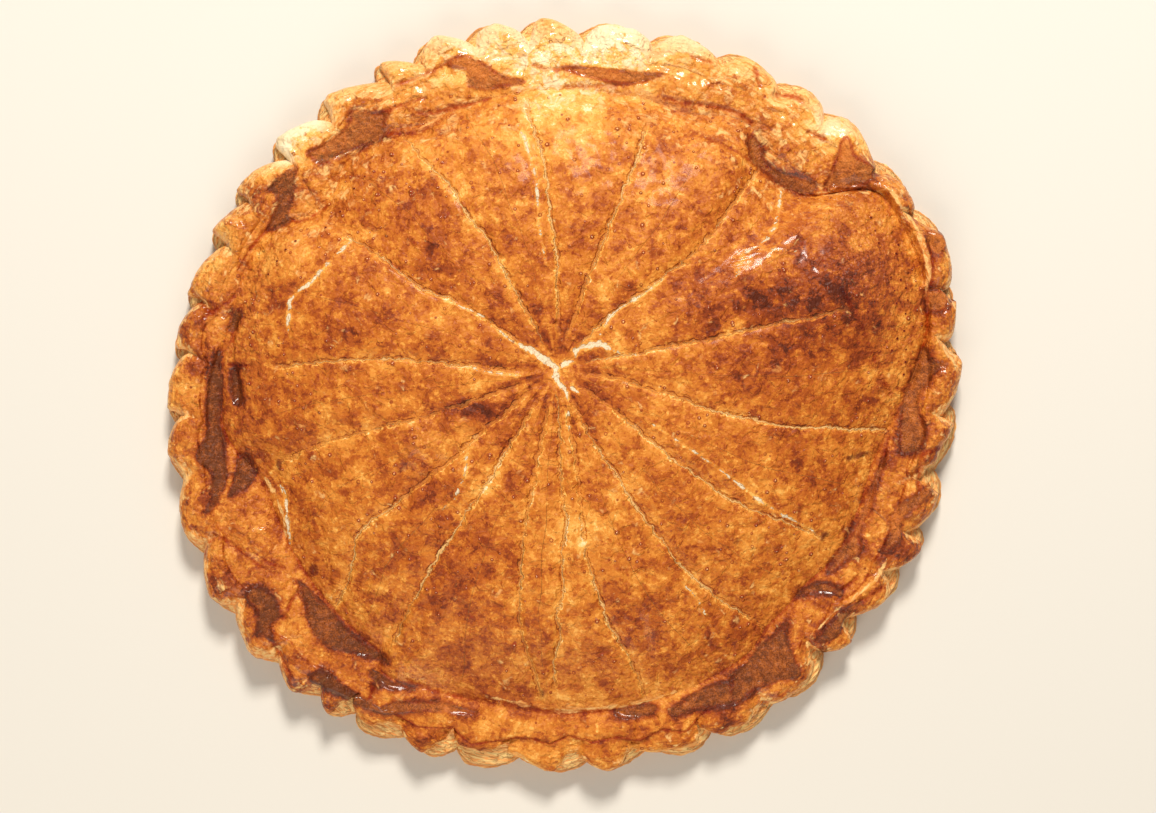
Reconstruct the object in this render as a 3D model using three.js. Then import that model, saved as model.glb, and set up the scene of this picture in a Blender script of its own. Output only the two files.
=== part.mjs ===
// Galette des rois: a round puff pastry pie, uncut, about 31 cm across.
// A domed lid with curved score marks is sealed to its base by a thick crimped border.
// Millimetres and degrees, +Z up. The origin is the middle of the flat base, and angles run
// anticlockwise from +X, seen from above.
import * as THREE from "three";

// Heights of the baked pie
const CREST_HEIGHT = 19.5; // top of the border
const VALLEY_HEIGHT = 13; // the sealed crease between border and lid
const DOME_HEIGHT = 34.5; // top of the lid
const HUB_DIP = 1.6; // the lid sinks a little where the scores meet

// Plan of the border
const EDGE_RADIUS = 154.3; // mean radius at the tips of the scallops
const VALLEY_RADIUS = 122.5; // mean radius of the crease
const BASE_RADIUS = 146; // mean radius of the flat underside
const OVAL = { by: 4.9, at: 17 }; // the disc is wider along this direction
const DRIFT = { by: 1.9, at: 124 }; // and fuller towards this one
const CORNERS = { by: 1.5, at: 36, count: 4 }; // with soft corners from hand rolling
const EDGE_SWELLS = [
  { from: 13, full: 20, hold: 26, to: 33, by: 3.5 },
  { from: 80, full: 96, hold: 108, to: 120, by: 1.8 },
  { from: 306, full: 318, hold: 324, to: 334, by: -3.5 },
];

// The border is pinched into scallops, each its own width. These are the directions of the pinches.
const PINCHES = [
  0, 10.5, 18, 30, 39, 49, 57, 67, 78, 89, 98, 106.5, 115, 121, 132, 141, 150, 157, 166.5, 174.5,
  184, 192.5, 203, 213.5, 223, 231, 236, 245, 252.5, 262.5, 274, 283, 294, 305.5, 317, 324, 334,
  341, 349.5,
];
const PINCH_DEPTH = 5.2; // how far a pinch cuts into the outline
const PINCH_DROP = 3.2; // how far it sinks the crest
const PINCH_SLANT = 2.5; // degrees that a pinch leans as it runs in over the crest
const DEEP_PINCHES = [
  { from: 60, full: 72, hold: 130, to: 165, by: 1.8 },
  { from: 306, full: 315, hold: 318, to: 325, by: 5 },
];

// Where the lid has pushed the crease outwards, or the border has closed over it
const CREASE_SWELLS = [
  { from: -14, full: 20, hold: 33, to: 42, by: 26 },
  { from: 50, full: 55, hold: 58, to: 68, by: 7 },
  { from: 117, full: 124, hold: 131, to: 141, by: 5 },
  { from: 141, full: 152, hold: 183, to: 197, by: 13 },
  { from: 233, full: 236, hold: 240, to: 247, by: 6 },
  { from: 305, full: 313, hold: 322, to: 331, by: -4 },
];

// Steam blisters that lift the pastry: middle, half-sizes along and across the radius, height
const BLISTERS = [
  { at: 21, radius: 118, along: 36, across: 27, by: 5.5 },
  { at: 202, radius: 128, along: 15, across: 20, by: 3.2 },
  { at: 154, radius: 124, along: 15, across: 16, by: 2.6 },
  { at: 137, radius: 122, along: 14, across: 15, by: 2.4 },
  { at: 195, radius: 62, along: 13, across: 15, by: 1.8 },
  { at: 262, radius: 88, along: 34, across: 46, by: 1.6 },
];

// The scores meet at a hub beside the middle. Each bends from its first to its last direction.
const HUB = new THREE.Vector2(-3.5, 13);
const SCORE_DEPTH = 1.3;
const WEDGE_RISE = 0.9; // the lid swells between its scores
const SCORES = [
  { from: 11, to: 11.5, start: 12, end: 110 },
  { from: 41, to: 44, start: 14, end: 110 },
  { from: 69, to: 70, start: 20, end: 98 },
  { from: 92, to: 96, start: 10, end: 104 },
  { from: 116, to: 124, start: 10, end: 109 },
  { from: 149, to: 148, start: 6, end: 97 },
  { from: 178, to: 180, start: 12, end: 108 },
  { from: 199, to: 199.5, start: 45, end: 112 },
  { from: 219, to: 227, start: 32, end: 124 },
  { from: 238, to: 239, start: 14, end: 122 },
  { from: 258, to: 267, start: 30, end: 124 },
  { from: 271, to: 269, start: 40, end: 120 },
  { from: 279, to: 285, start: 20, end: 128 },
  { from: 297, to: 307, start: 14, end: 124 },
  { from: 324, to: 327.5, start: 12, end: 120 },
  { from: 344, to: 349, start: 12, end: 132 },
];

// Fineness of the mesh
const COLUMNS_PER_SCALLOP = 5;
const COLUMNS = PINCHES.length * COLUMNS_PER_SCALLOP;

// The mean section from the middle of the underside, out round the border and in over the lid
const SECTION = [
  [0, 0],
  [BASE_RADIUS, 0],
  [EDGE_RADIUS - 2, 2.2],
  [EDGE_RADIUS, 6],
  [EDGE_RADIUS - 1.4, 11],
  [EDGE_RADIUS - 5, CREST_HEIGHT - 3.5],
  [EDGE_RADIUS - 10, CREST_HEIGHT - 0.6],
  [EDGE_RADIUS - 15, CREST_HEIGHT],
  [VALLEY_RADIUS + 10, CREST_HEIGHT - 1.8],
  [VALLEY_RADIUS + 4.5, VALLEY_HEIGHT + 1.8],
  [VALLEY_RADIUS, VALLEY_HEIGHT],
  [VALLEY_RADIUS - 4, VALLEY_HEIGHT + 2.2],
  [VALLEY_RADIUS - 9.5, VALLEY_HEIGHT + 6],
  [VALLEY_RADIUS - 18, VALLEY_HEIGHT + 9.8],
  [94, DOME_HEIGHT - 8.6],
  [82, DOME_HEIGHT - 6],
  [69, DOME_HEIGHT - 3.9],
  [56, DOME_HEIGHT - 2.4],
  [43, DOME_HEIGHT - 1.2],
  [30, DOME_HEIGHT - 0.4],
  [18, DOME_HEIGHT],
  [9, DOME_HEIGHT - HUB_DIP / 3],
  [0, DOME_HEIGHT - HUB_DIP],
];
const UNDERSIDE_RINGS = 2; // the first rings of the section lie flat on the table

const { degToRad, euclideanModulo, lerp, smoothstep } = THREE.MathUtils;
const TURN = 360;

/** The signed turn from one direction to another, in -180 to 180. */
function turnTo(from, to) {
  return euclideanModulo(to - from + TURN / 2, TURN) - TURN / 2;
}

/** Rises from `from` to `full`, holds at `by` until `hold`, and falls to nothing at `to`. */
function swellAt(angle, { from, full, hold, to, by }) {
  const along = from + euclideanModulo(angle - from, TURN);
  return by * smoothstep(along, from, full) * (1 - smoothstep(along, hold, to));
}

/** The sum of several swells at one direction. */
function swellsAt(angle, swells) {
  return swells.reduce((sum, swell) => sum + swellAt(angle, swell), 0);
}

/** The scallop that a column of the mesh belongs to, and its place across it from 0 to 1. */
function scallopOf(column) {
  const number = Math.floor(column / COLUMNS_PER_SCALLOP);
  const across = (column % COLUMNS_PER_SCALLOP) / COLUMNS_PER_SCALLOP;
  const first = PINCHES[number];
  const last = PINCHES[number + 1] ?? PINCHES[0] + TURN;
  return { angle: lerp(first, last, across), lobe: 1 - (2 * across - 1) ** 2 };
}

/** The outline's radius at the tips of the scallops. */
function tipRadius(angle) {
  const oval = OVAL.by * Math.cos(degToRad(2 * (angle - OVAL.at)));
  const drift = DRIFT.by * Math.cos(degToRad(angle - DRIFT.at));
  const corners = CORNERS.by * Math.cos(degToRad(CORNERS.count * (angle - CORNERS.at)));
  return EDGE_RADIUS + oval + drift + corners + swellsAt(angle, EDGE_SWELLS);
}

/** The crease's radius. */
function creaseRadius(angle) {
  return VALLEY_RADIUS + swellsAt(angle, CREASE_SWELLS);
}

/** A point at a direction and a distance from the middle. */
function pointAt(angle, radius) {
  return new THREE.Vector2(Math.cos(degToRad(angle)), Math.sin(degToRad(angle))).multiplyScalar(radius);
}

/** How far the blisters lift a point of the lid. */
function blisterLift(place) {
  return BLISTERS.reduce((lift, { at, radius, along, across, by }) => {
    const offset = place.clone().sub(pointAt(at, radius)).rotateAround(new THREE.Vector2(), -degToRad(at));
    const reach = (offset.x / along) ** 2 + (offset.y / across) ** 2;
    return lift + by * Math.max(0, 1 - reach) ** 2;
  }, 0);
}

/** A score's direction from the hub at a distance from it. */
function scoreDirection({ from, to, start, end }, distance) {
  const along = THREE.MathUtils.clamp((distance - start) / (end - start), 0, 1);
  return from + turnTo(from, to) * along ** 2;
}

/** The direction from the hub at which a column meets the crease. */
function columnDirection(column) {
  const { angle } = scallopOf(column);
  const outer = pointAt(angle, creaseRadius(angle)).sub(HUB);
  return euclideanModulo(THREE.MathUtils.radToDeg(outer.angle()), TURN);
}

// Each score owns the column that meets the crease nearest to the score's last direction, and the
// columns between two scores spread evenly.
const COLUMN_DIRECTIONS = Array.from({ length: COLUMNS }, (_, column) => columnDirection(column));
const SCORE_COLUMNS = SCORES.map((score) => {
  const misses = COLUMN_DIRECTIONS.map((direction) => Math.abs(turnTo(direction, score.to)));
  return misses.indexOf(Math.min(...misses));
});

/** The two scores on either side of a column, and the column's place between them from 0 to 1. */
function wedgeOf(column) {
  const passed = SCORE_COLUMNS.map((own) => euclideanModulo(column - own, COLUMNS));
  const first = passed.indexOf(Math.min(...passed));
  const next = (first + 1) % SCORES.length;
  const width = euclideanModulo(SCORE_COLUMNS[next] - SCORE_COLUMNS[first], COLUMNS);
  return { first, next, across: passed[first] / width };
}

/** How far a column turns round the hub to follow its scores, in degrees. */
function swirl(column, distance) {
  const { first, next, across } = wedgeOf(column);
  const [left, right] = [first, next].map((number) =>
    turnTo(COLUMN_DIRECTIONS[SCORE_COLUMNS[number]], scoreDirection(SCORES[number], distance)),
  );
  return lerp(left, right, across);
}

/** The relief of the lid between and along its scores. */
function scoreRelief(column, distance) {
  const { first, across } = wedgeOf(column);
  const { start, end } = SCORES[first];
  const rise = WEDGE_RISE * Math.sin(Math.PI * across) * smoothstep(distance, 0, end / 2);
  const cut = smoothstep(distance, start / 2, start) * (1 - smoothstep(distance, end - 8, end));
  return across === 0 ? -SCORE_DEPTH * cut : rise * (1 - smoothstep(distance, end - 20, end));
}

/** A vertex of the flat underside. */
function undersidePoint(column, radius) {
  const { angle, lobe } = scallopOf(column);
  const pinch = (1 - lobe) * PINCH_DEPTH * (radius / BASE_RADIUS);
  const place = pointAt(angle, (radius / EDGE_RADIUS) * tipRadius(angle) - pinch / 2);
  return radius === 0 ? new THREE.Vector3() : new THREE.Vector3(place.x, place.y, 0);
}

/** A vertex of the border, between the crease and the outline. */
function borderPoint(column, radius, height) {
  const { angle, lobe } = scallopOf(column);
  const out = (radius - VALLEY_RADIUS) / (EDGE_RADIUS - VALLEY_RADIUS);
  const tip = tipRadius(angle);
  const crease = creaseRadius(angle);
  const pinch = (1 - lobe) * (PINCH_DEPTH + swellsAt(angle, DEEP_PINCHES)) * out ** 2;
  const slant = PINCH_SLANT * Math.sin(Math.PI * out) * out;
  const place = pointAt(angle - slant, lerp(crease, tip, out) - pinch);
  const crest = Math.max(0, height - VALLEY_HEIGHT) / (CREST_HEIGHT - VALLEY_HEIGHT);
  const sink = (1 - lobe) * PINCH_DROP * crest * Math.min(1, 1.4 * out);
  return new THREE.Vector3(place.x, place.y, height - sink + crest * blisterLift(place));
}

/** A vertex of the lid, inside the crease. */
function lidPoint(column, radius, height) {
  const { angle } = scallopOf(column);
  const share = radius / VALLEY_RADIUS;
  const spoke = pointAt(angle, creaseRadius(angle)).sub(HUB).multiplyScalar(share);
  const distance = spoke.length();
  const held = 1 - share ** 8; // the lid is fixed where it meets the crease
  spoke.rotateAround(new THREE.Vector2(), degToRad(swirl(column, distance) * held));
  const place = spoke.add(HUB);
  const relief = radius === 0 ? 0 : scoreRelief(column, distance) + blisterLift(place);
  return new THREE.Vector3(place.x, place.y, height + relief * held);
}

/** One vertex of the crust: the mean section's ring, moved to the true form at this column. */
function crustPoint(column, ring) {
  const [radius, height] = SECTION[ring];
  if (ring < UNDERSIDE_RINGS) return undersidePoint(column, radius);
  return radius >= VALLEY_RADIUS ? borderPoint(column, radius, height) : lidPoint(column, radius, height);
}

/** The whole crust as one closed skin. */
function crustGeometry() {
  const profile = SECTION.map(([radius, height]) => new THREE.Vector2(radius, height));
  const geometry = new THREE.LatheGeometry(profile, COLUMNS);
  const vertices = geometry.getAttribute("position");
  for (let column = 0; column <= COLUMNS; column++) {
    for (let ring = 0; ring < SECTION.length; ring++) {
      const { x, y, z } = crustPoint(column % COLUMNS, ring);
      vertices.setXYZ(column * SECTION.length + ring, x, y, z);
    }
  }
  geometry.computeVertexNormals();
  return geometry;
}

/** The skin shifted so that the middle of its box stands over the origin. */
function centred(geometry) {
  geometry.computeBoundingBox();
  const middle = geometry.boundingBox.getCenter(new THREE.Vector3());
  return geometry.translate(-middle.x, -middle.y, 0);
}

const crust = new THREE.MeshStandardMaterial({ color: 0xd0883a, roughness: 0.42, metalness: 0 });
const galette = new THREE.Mesh(centred(crustGeometry()), crust);
galette.name = "galette";

const group = new THREE.Group();
group.add(galette);
export default group;
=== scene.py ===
"""A whole galette des rois: a round, glazed puff pastry pie with a domed, scored lid.

The pie lies flat on its base, with the middle of its box over the origin. Shapes are worked out in
millimetres and degrees, anticlockwise from +X, and every mesh is written in metres.
"""

import logging
import math
from dataclasses import dataclass, field
from enum import Enum

import bpy
import numpy as np
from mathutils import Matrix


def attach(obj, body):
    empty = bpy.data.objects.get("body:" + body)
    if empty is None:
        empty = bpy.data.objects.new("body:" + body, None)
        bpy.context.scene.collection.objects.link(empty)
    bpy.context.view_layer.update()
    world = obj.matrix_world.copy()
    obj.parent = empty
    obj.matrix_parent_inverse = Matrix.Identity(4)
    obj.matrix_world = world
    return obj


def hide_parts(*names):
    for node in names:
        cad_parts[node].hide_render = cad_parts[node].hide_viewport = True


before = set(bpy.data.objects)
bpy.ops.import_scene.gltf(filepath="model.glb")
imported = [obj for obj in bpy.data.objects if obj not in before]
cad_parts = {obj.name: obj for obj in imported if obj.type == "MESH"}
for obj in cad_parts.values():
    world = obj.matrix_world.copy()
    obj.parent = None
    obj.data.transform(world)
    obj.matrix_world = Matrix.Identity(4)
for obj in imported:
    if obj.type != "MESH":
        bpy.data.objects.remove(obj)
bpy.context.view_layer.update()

Array = np.ndarray
Rgb = tuple[float, float, float]

MM = 0.001
TURN = 360.0
CENTRING = (0.89, -2.24)  # moves the middle of the pie's box over the origin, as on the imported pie
FAR = 8.0  # how far from a mark its cover is still measured
SHORTEST = 1e-9  # keeps a line of no length from dividing by nothing
LOG = logging.getLogger("galette")


class Field(Enum):
    """A value kept at each point of a mesh, which the finishes read."""

    # BROWN carries the baked tone with painted light on the top side and painted shade beside the scores;
    # LINE marks folds and creases painted dark as painted shade; PALE holds pale layers and lips, and painted
    # light on the top side.
    BROWN = "brown"
    CRACK = "crack"
    POOL = "pool"
    LINE = "line"
    PALE = "pale"
    SPOT = "spot"
    BUBBLE = "bubble"
    UNDER = "under"
    SIDE = "side"
    WIDTH = "width"
    GROOVE = "groove"
    GLOSS = "gloss"
    LEAF = "leaf"


# ----------------------------------------------------------------------------- sums


def smoothstep(value: Array, low: float, high: float) -> Array:
    """Rises smoothly from 0 at low to 1 at high."""
    share = np.clip((value - low) / (high - low), 0.0, 1.0)
    return share * share * (3.0 - 2.0 * share)


def blend(first: Array, last: Array, share: Array) -> Array:
    """Goes from first to last as share goes from 0 to 1."""
    return first + (last - first) * share


def turn_to(start: Array, end: Array) -> Array:
    """The signed turn from one direction to another, in -180 to 180."""
    return (end - start + TURN / 2) % TURN - TURN / 2


def bump(value: Array, width: float) -> Array:
    """A soft hump, 1 at 0 and near 0 past twice its width."""
    return np.exp(-((value / width) ** 2))


def plan(angle: Array, radius: Array) -> tuple[Array, Array]:
    """The x and y of a point at a direction and a distance from the middle."""
    return radius * np.cos(np.radians(angle)), radius * np.sin(np.radians(angle))


def curve_through(points: Array, closed: bool, steps: int) -> Array:
    """A smooth curve through points, as more points.

    Args:
        points: one row for each point, with any number of values.
        closed: whether the curve comes back to its first point.
        steps: how many points take the place of each one.

    Returns:
        The rows of the curve.
    """
    if closed:
        padded = np.vstack([points[-1:], points, points[:2]])
    else:
        padded = np.vstack([points[:1], points, points[-1:]])
    rows = []
    for before, start, end, after in zip(padded, padded[1:], padded[2:], padded[3:]):
        for step in range(steps):
            t = step / steps
            pull = (end - before) * t + (2 * before - 5 * start + 4 * end - after) * t**2
            push = (3 * start - before - 3 * end + after) * t**3
            rows.append(start + (pull + push) / 2)
    if not closed:
        rows.append(points[-1])
    return np.array(rows)


class Noise:
    """Smooth noise in three dimensions, the same on every run."""

    CELLS = 24
    GAIN = 1.6

    def __init__(self, seed: int) -> None:
        """Makes the noise's slopes from a seed."""
        slopes = np.random.default_rng(seed).normal(size=(self.CELLS,) * 3 + (3,))
        self.slopes = slopes / np.linalg.norm(slopes, axis=-1, keepdims=True)

    def at(self, x: Array, y: Array, z: Array, size: float) -> Array:
        """The noise at points.

        Args:
            x: first coordinate of each point.
            y: second coordinate.
            z: third coordinate.
            size: how wide one swell of the noise is.

        Returns:
            Values of about -1 to 1.
        """
        points = np.stack(np.broadcast_arrays(x, y, z), axis=-1) / size
        base = np.floor(points).astype(int)
        part = points - base
        fade = part**3 * (part * (part * 6 - 15) + 10)
        total = np.zeros(points.shape[:-1])
        for corner in np.ndindex(2, 2, 2):
            cell = (base + corner) % self.CELLS
            slope = self.slopes[cell[..., 0], cell[..., 1], cell[..., 2]]
            reach = (slope * (part - corner)).sum(axis=-1)
            weight = np.where(corner, fade, 1 - fade).prod(axis=-1)
            total += weight * reach
        return total * self.GAIN

    def layered(self, x: Array, y: Array, size: float, octaves: int) -> Array:
        """Noise over the plan with finer noise on it, each half the size and strength."""
        return sum(
            self.at(x, y, octave * 7.3, size / 2**octave) / 2**octave for octave in range(octaves)
        )


# ----------------------------------------------------------------------------- marks


@dataclass(frozen=True)
class Swell:
    """A rise that starts, is full, holds and ends at directions round the pie."""

    start: float
    full: float
    hold: float
    end: float
    rise: float

    def at(self, angle: Array) -> Array:
        """The rise at each direction."""
        along = self.start + (angle - self.start) % TURN
        falling = 1 - smoothstep(along, self.hold, self.end)
        return self.rise * smoothstep(along, self.start, self.full) * falling


def swells_at(angle: Array, swells: tuple[Swell, ...]) -> Array:
    """The sum of several swells at each direction."""
    return sum((swell.at(angle) for swell in swells), np.zeros_like(angle))


@dataclass(frozen=True)
class Hump:
    """A rounded patch of the plan: middle, half-sizes along and across the radius, strength."""

    angle: float
    radius: float
    along: float
    across: float
    rise: float

    def at(self, x: Array, y: Array) -> Array:
        """The patch's value at points of the plan, 0 outside it."""
        turn = math.radians(self.angle)
        out = x * math.cos(turn) + y * math.sin(turn) - self.radius
        side = y * math.cos(turn) - x * math.sin(turn)
        reach = (out / self.along) ** 2 + (side / self.across) ** 2
        return self.rise * np.maximum(0.0, 1.0 - reach) ** 2


def humps_at(x: Array, y: Array, humps: tuple[Hump, ...]) -> Array:
    """The sum of several humps at points of the plan."""
    return sum((hump.at(x, y) for hump in humps), np.zeros_like(x))


def near_path(path: Array, x: Array, y: Array) -> Array:
    """Which points of the plan are near enough to a path to be measured."""
    low, high = path[:, :2].min(axis=0) - FAR, path[:, :2].max(axis=0) + FAR
    return (x > low[0]) & (x < high[0]) & (y > low[1]) & (y < high[1])


def beside_line(x: Array, y: Array, start: Array, end: Array) -> tuple[Array, Array]:
    """Measures points of the plan against a straight line.

    Args:
        x: first coordinate of each point.
        y: second coordinate.
        start: x and y of the line's start.
        end: x and y of its end.

    Returns:
        How far along the line the nearest place is, 0 to 1, and the distance to it.
    """
    (x0, y0), (x1, y1) = start, end
    length = max((x1 - x0) ** 2 + (y1 - y0) ** 2, SHORTEST)
    share = np.clip(((x - x0) * (x1 - x0) + (y - y0) * (y1 - y0)) / length, 0, 1)
    return share, np.hypot(x - x0 - share * (x1 - x0), y - y0 - share * (y1 - y0))


@dataclass(frozen=True)
class Stroke:
    """A drawn line of changing width: rows of direction, radius and half-width."""

    rows: tuple[tuple[float, float, float], ...]
    centre: tuple[float, float] = (0.0, 0.0)

    STEPS = 3

    def path(self) -> Array:
        """The smooth line as rows of x, y and half-width."""
        angle, radius, width = np.array(self.rows).T
        x, y = plan(angle, radius)
        points = np.stack([x + self.centre[0], y + self.centre[1], width], axis=-1)
        return curve_through(points, False, self.STEPS)

    def cover(self, x: Array, y: Array) -> Array:
        """How deep points of the plan lie inside the line, negative outside it."""
        path = self.path()
        best = np.full(x.shape, -FAR)
        near = near_path(path, x, y)
        if not near.any():
            return best
        here_x, here_y, deep = x[near], y[near], best[near]
        for start, end in zip(path, path[1:]):
            share, away = beside_line(here_x, here_y, start[:2], end[:2])
            deep = np.maximum(deep, start[2] + share * (end[2] - start[2]) - away)
        best[near] = deep
        return best


@dataclass(frozen=True)
class Patch:
    """A closed outline on the plan: rows of direction and radius."""

    rows: tuple[tuple[float, float], ...]

    STEPS = 3

    def cover(self, x: Array, y: Array) -> Array:
        """How deep points of the plan lie inside the outline, negative outside it."""
        angle, radius = np.array(self.rows).T
        path = curve_through(np.stack(plan(angle, radius), axis=-1), True, self.STEPS)
        best = np.full(x.shape, -FAR)
        near = near_path(path, x, y)
        if not near.any():
            return best
        here_x, here_y = x[near], y[near]
        away = np.full(here_x.shape, FAR)
        inside = np.zeros(here_x.shape, dtype=bool)
        for start, end in zip(path, np.roll(path, -1, axis=0)):
            away = np.minimum(away, beside_line(here_x, here_y, start, end)[1])
            (x0, y0), (x1, y1) = start, end
            if y0 != y1:
                crossing = (y0 > here_y) != (y1 > here_y)
                inside ^= crossing & (here_x < x0 + (here_y - y0) * (x1 - x0) / (y1 - y0))
        best[near] = np.where(inside, away, -away)
        return best


def cover_of(marks: tuple, x: Array, y: Array) -> Array:
    """How deep points lie inside the deepest of several strokes or patches."""
    best = np.full(x.shape, -FAR)
    for mark in marks:
        best = np.maximum(best, mark.cover(x, y))
    return best


@dataclass(frozen=True)
class Score:
    """A line cut in the lid before baking, from the hub outwards.

    The path is rows of distance from the hub and direction; the opening is rows of distance and
    half-width of the crack that the cut has opened into.
    """

    path: tuple[tuple[float, float], ...]
    opening: tuple[tuple[float, float], ...]
    depth: float = 0.4
    lip: float = 0.14

    def direction(self, distance: Array) -> Array:
        """The score's direction from the hub at a distance from it."""
        at, turn = np.array(self.path).T
        return np.interp(distance, at, turn)

    def half_width(self, distance: Array) -> Array:
        """Half the width of the open crack at a distance from the hub."""
        at, width = np.array(self.opening).T
        return np.interp(distance, at, width, left=-1.0, right=-1.0)

    @property
    def last(self) -> float:
        """The direction in which the score ends."""
        return self.path[-1][1]

    @property
    def end(self) -> float:
        """How far from the hub the score ends."""
        return self.path[-1][0]


# ----------------------------------------------------------------------------- the pie's form


@dataclass(frozen=True)
class Border:
    """The plan of the pie: its scalloped outline and the crease between border and lid."""

    edge: float = 154.3
    oval: tuple[float, float] = (4.9, 17.0)
    drift: tuple[float, float] = (1.9, 124.0)
    corners: tuple[float, float] = (1.5, 36.0)
    edge_swells: tuple[Swell, ...] = (
        Swell(13, 20, 26, 33, 3.5),
        Swell(80, 96, 108, 120, 1.8),
        Swell(306, 318, 324, 334, -3.5),
    )
    crease: float = 122.5
    crease_swells: tuple[Swell, ...] = (
        Swell(-14, 20, 33, 42, 26),
        Swell(50, 55, 58, 68, 7),
        Swell(117, 124, 131, 141, 5),
        Swell(141, 152, 183, 197, 13),
        Swell(233, 236, 240, 247, 6),
        Swell(305, 313, 322, 331, -4),
    )
    pinches: tuple[float, ...] = (
        0, 10.5, 18, 30, 39, 49, 57, 67, 78, 89, 98, 106.5, 115, 121, 132, 141, 150, 157, 166.5,
        174.5, 184, 192.5, 203, 213.5, 223, 231, 236, 245, 252.5, 262.5, 274, 283, 294, 305.5,
        317, 324, 334, 341, 349.5,
    )  # fmt: skip
    pinch: float = 5.2
    deep_pinches: tuple[Swell, ...] = (Swell(60, 72, 130, 165, 1.8), Swell(306, 315, 318, 325, 3))
    ledges: tuple[Swell, ...] = (
        Swell(226, 238, 294, 308, 6.4),
        Swell(300, 314, 352, 364, 3.6),
        Swell(30, 40, 60, 75, 1.0),
    )

    def tip(self, angle: Array) -> Array:
        """The outline's radius at the tips of the scallops."""
        oval = self.oval[0] * np.cos(np.radians(2 * (angle - self.oval[1])))
        drift = self.drift[0] * np.cos(np.radians(angle - self.drift[1]))
        corners = self.corners[0] * np.cos(np.radians(4 * (angle - self.corners[1])))
        return self.edge + oval + drift + corners + swells_at(angle, self.edge_swells)

    def crease_radius(self, angle: Array) -> Array:
        """The radius of the crease between the border and the lid."""
        return self.crease + swells_at(angle, self.crease_swells)

    def pinch_depth(self, angle: Array) -> Array:
        """How far a pinch cuts into the outline."""
        return self.pinch + swells_at(angle, self.deep_pinches)

    def ledge_width(self, angle: Array) -> Array:
        """How far the pale layers stand out beyond the brown rope at a pinch."""
        return 1.2 + swells_at(angle, self.ledges)


BORDER = Border()

# Where the scores meet
HUB = (-3.5, 13.0)
CREASE_HEIGHT = 13.0
DOME_RISE = 21.3
HUB_DIP = 1.6

BLISTERS = (
    Hump(21, 118, 36, 27, 5.5),
    Hump(202, 128, 15, 20, 3.2),
    Hump(154, 124, 15, 16, 2.6),
    Hump(137, 122, 14, 15, 2.4),
    Hump(195, 62, 13, 15, 1.8),
    Hump(262, 88, 34, 46, 1.6),
)

# How deep the crease is round the pie: 1 is a full groove
CREASE_DEPTHS = (
    Swell(165, 185, 340, 380, 0.9),
    Swell(232, 248, 288, 304, -0.60),
    Swell(28, 38, 44, 56, 0.7),
    Swell(120, 130, 150, 165, 0.4),
)

# Where the border's outer side shows its pale layers; the strongest stretch, 30 to 168 degrees on the top
# side, is also painted highlight
PALE_EDGES = (
    Swell(30, 52, 132, 168, 0.85),
    Swell(150, 180, 222, 236, 0.70),
    Swell(226, 240, 300, 316, 0.40),
    Swell(300, 316, 378, 402, 0.62),
)

# Where the border faces the key light: the rope is lower there, and the crust is painted paler as painted
# light
SUNNY_EDGE = Swell(30, 52, 132, 168, 1.0)

# Where the fold inside the rope keeps to ROPE_LINE
DRAWN_FOLD = Swell(230, 240, 290, 300, 1.0)

# How deep the fold inside the rope is round the pie
ROPE_FOLDS = (
    Swell(150, 175, 228, 240, 0.35),
    Swell(226, 242, 292, 306, 0.9),
    Swell(296, 306, 345, 362, 0.5),
)

# Where the fold inside the rope runs where it is deepest: direction and radius
ROPE_LINE = (
    (232, 142.5), (236, 141.8), (240, 141), (243, 139), (247.5, 139.6), (252.5, 135), (256.5, 139),
    (261, 134.5), (263, 132.5), (266, 132.5), (269, 134), (271.5, 130.5), (276, 133.5), (280, 132.5),
    (284, 135.5), (288, 133.5), (292, 137.5), (296, 135.5), (300, 139),
)  # fmt: skip

# Where the egg wash is thick and shiny, from the middle of the pie
GLOSSY = (
    Hump(28, 116, 34, 30, 0.45),
    Hump(24, 125, 18, 26, 0.25),
    Hump(196, 57, 16, 14, 0.60),
    Hump(290, 92, 14, 16, 0.35),
    Hump(90, 138, 15, 90, 0.40),
    Hump(40, 96, 16, 22, 0.30),
    Hump(160, 140, 22, 60, 0.25),
    Hump(268, 130, 26, 130, -0.95),
    Hump(320, 132, 22, 60, -0.25),
    Hump(225, 132, 20, 50, -0.25),
)

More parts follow.
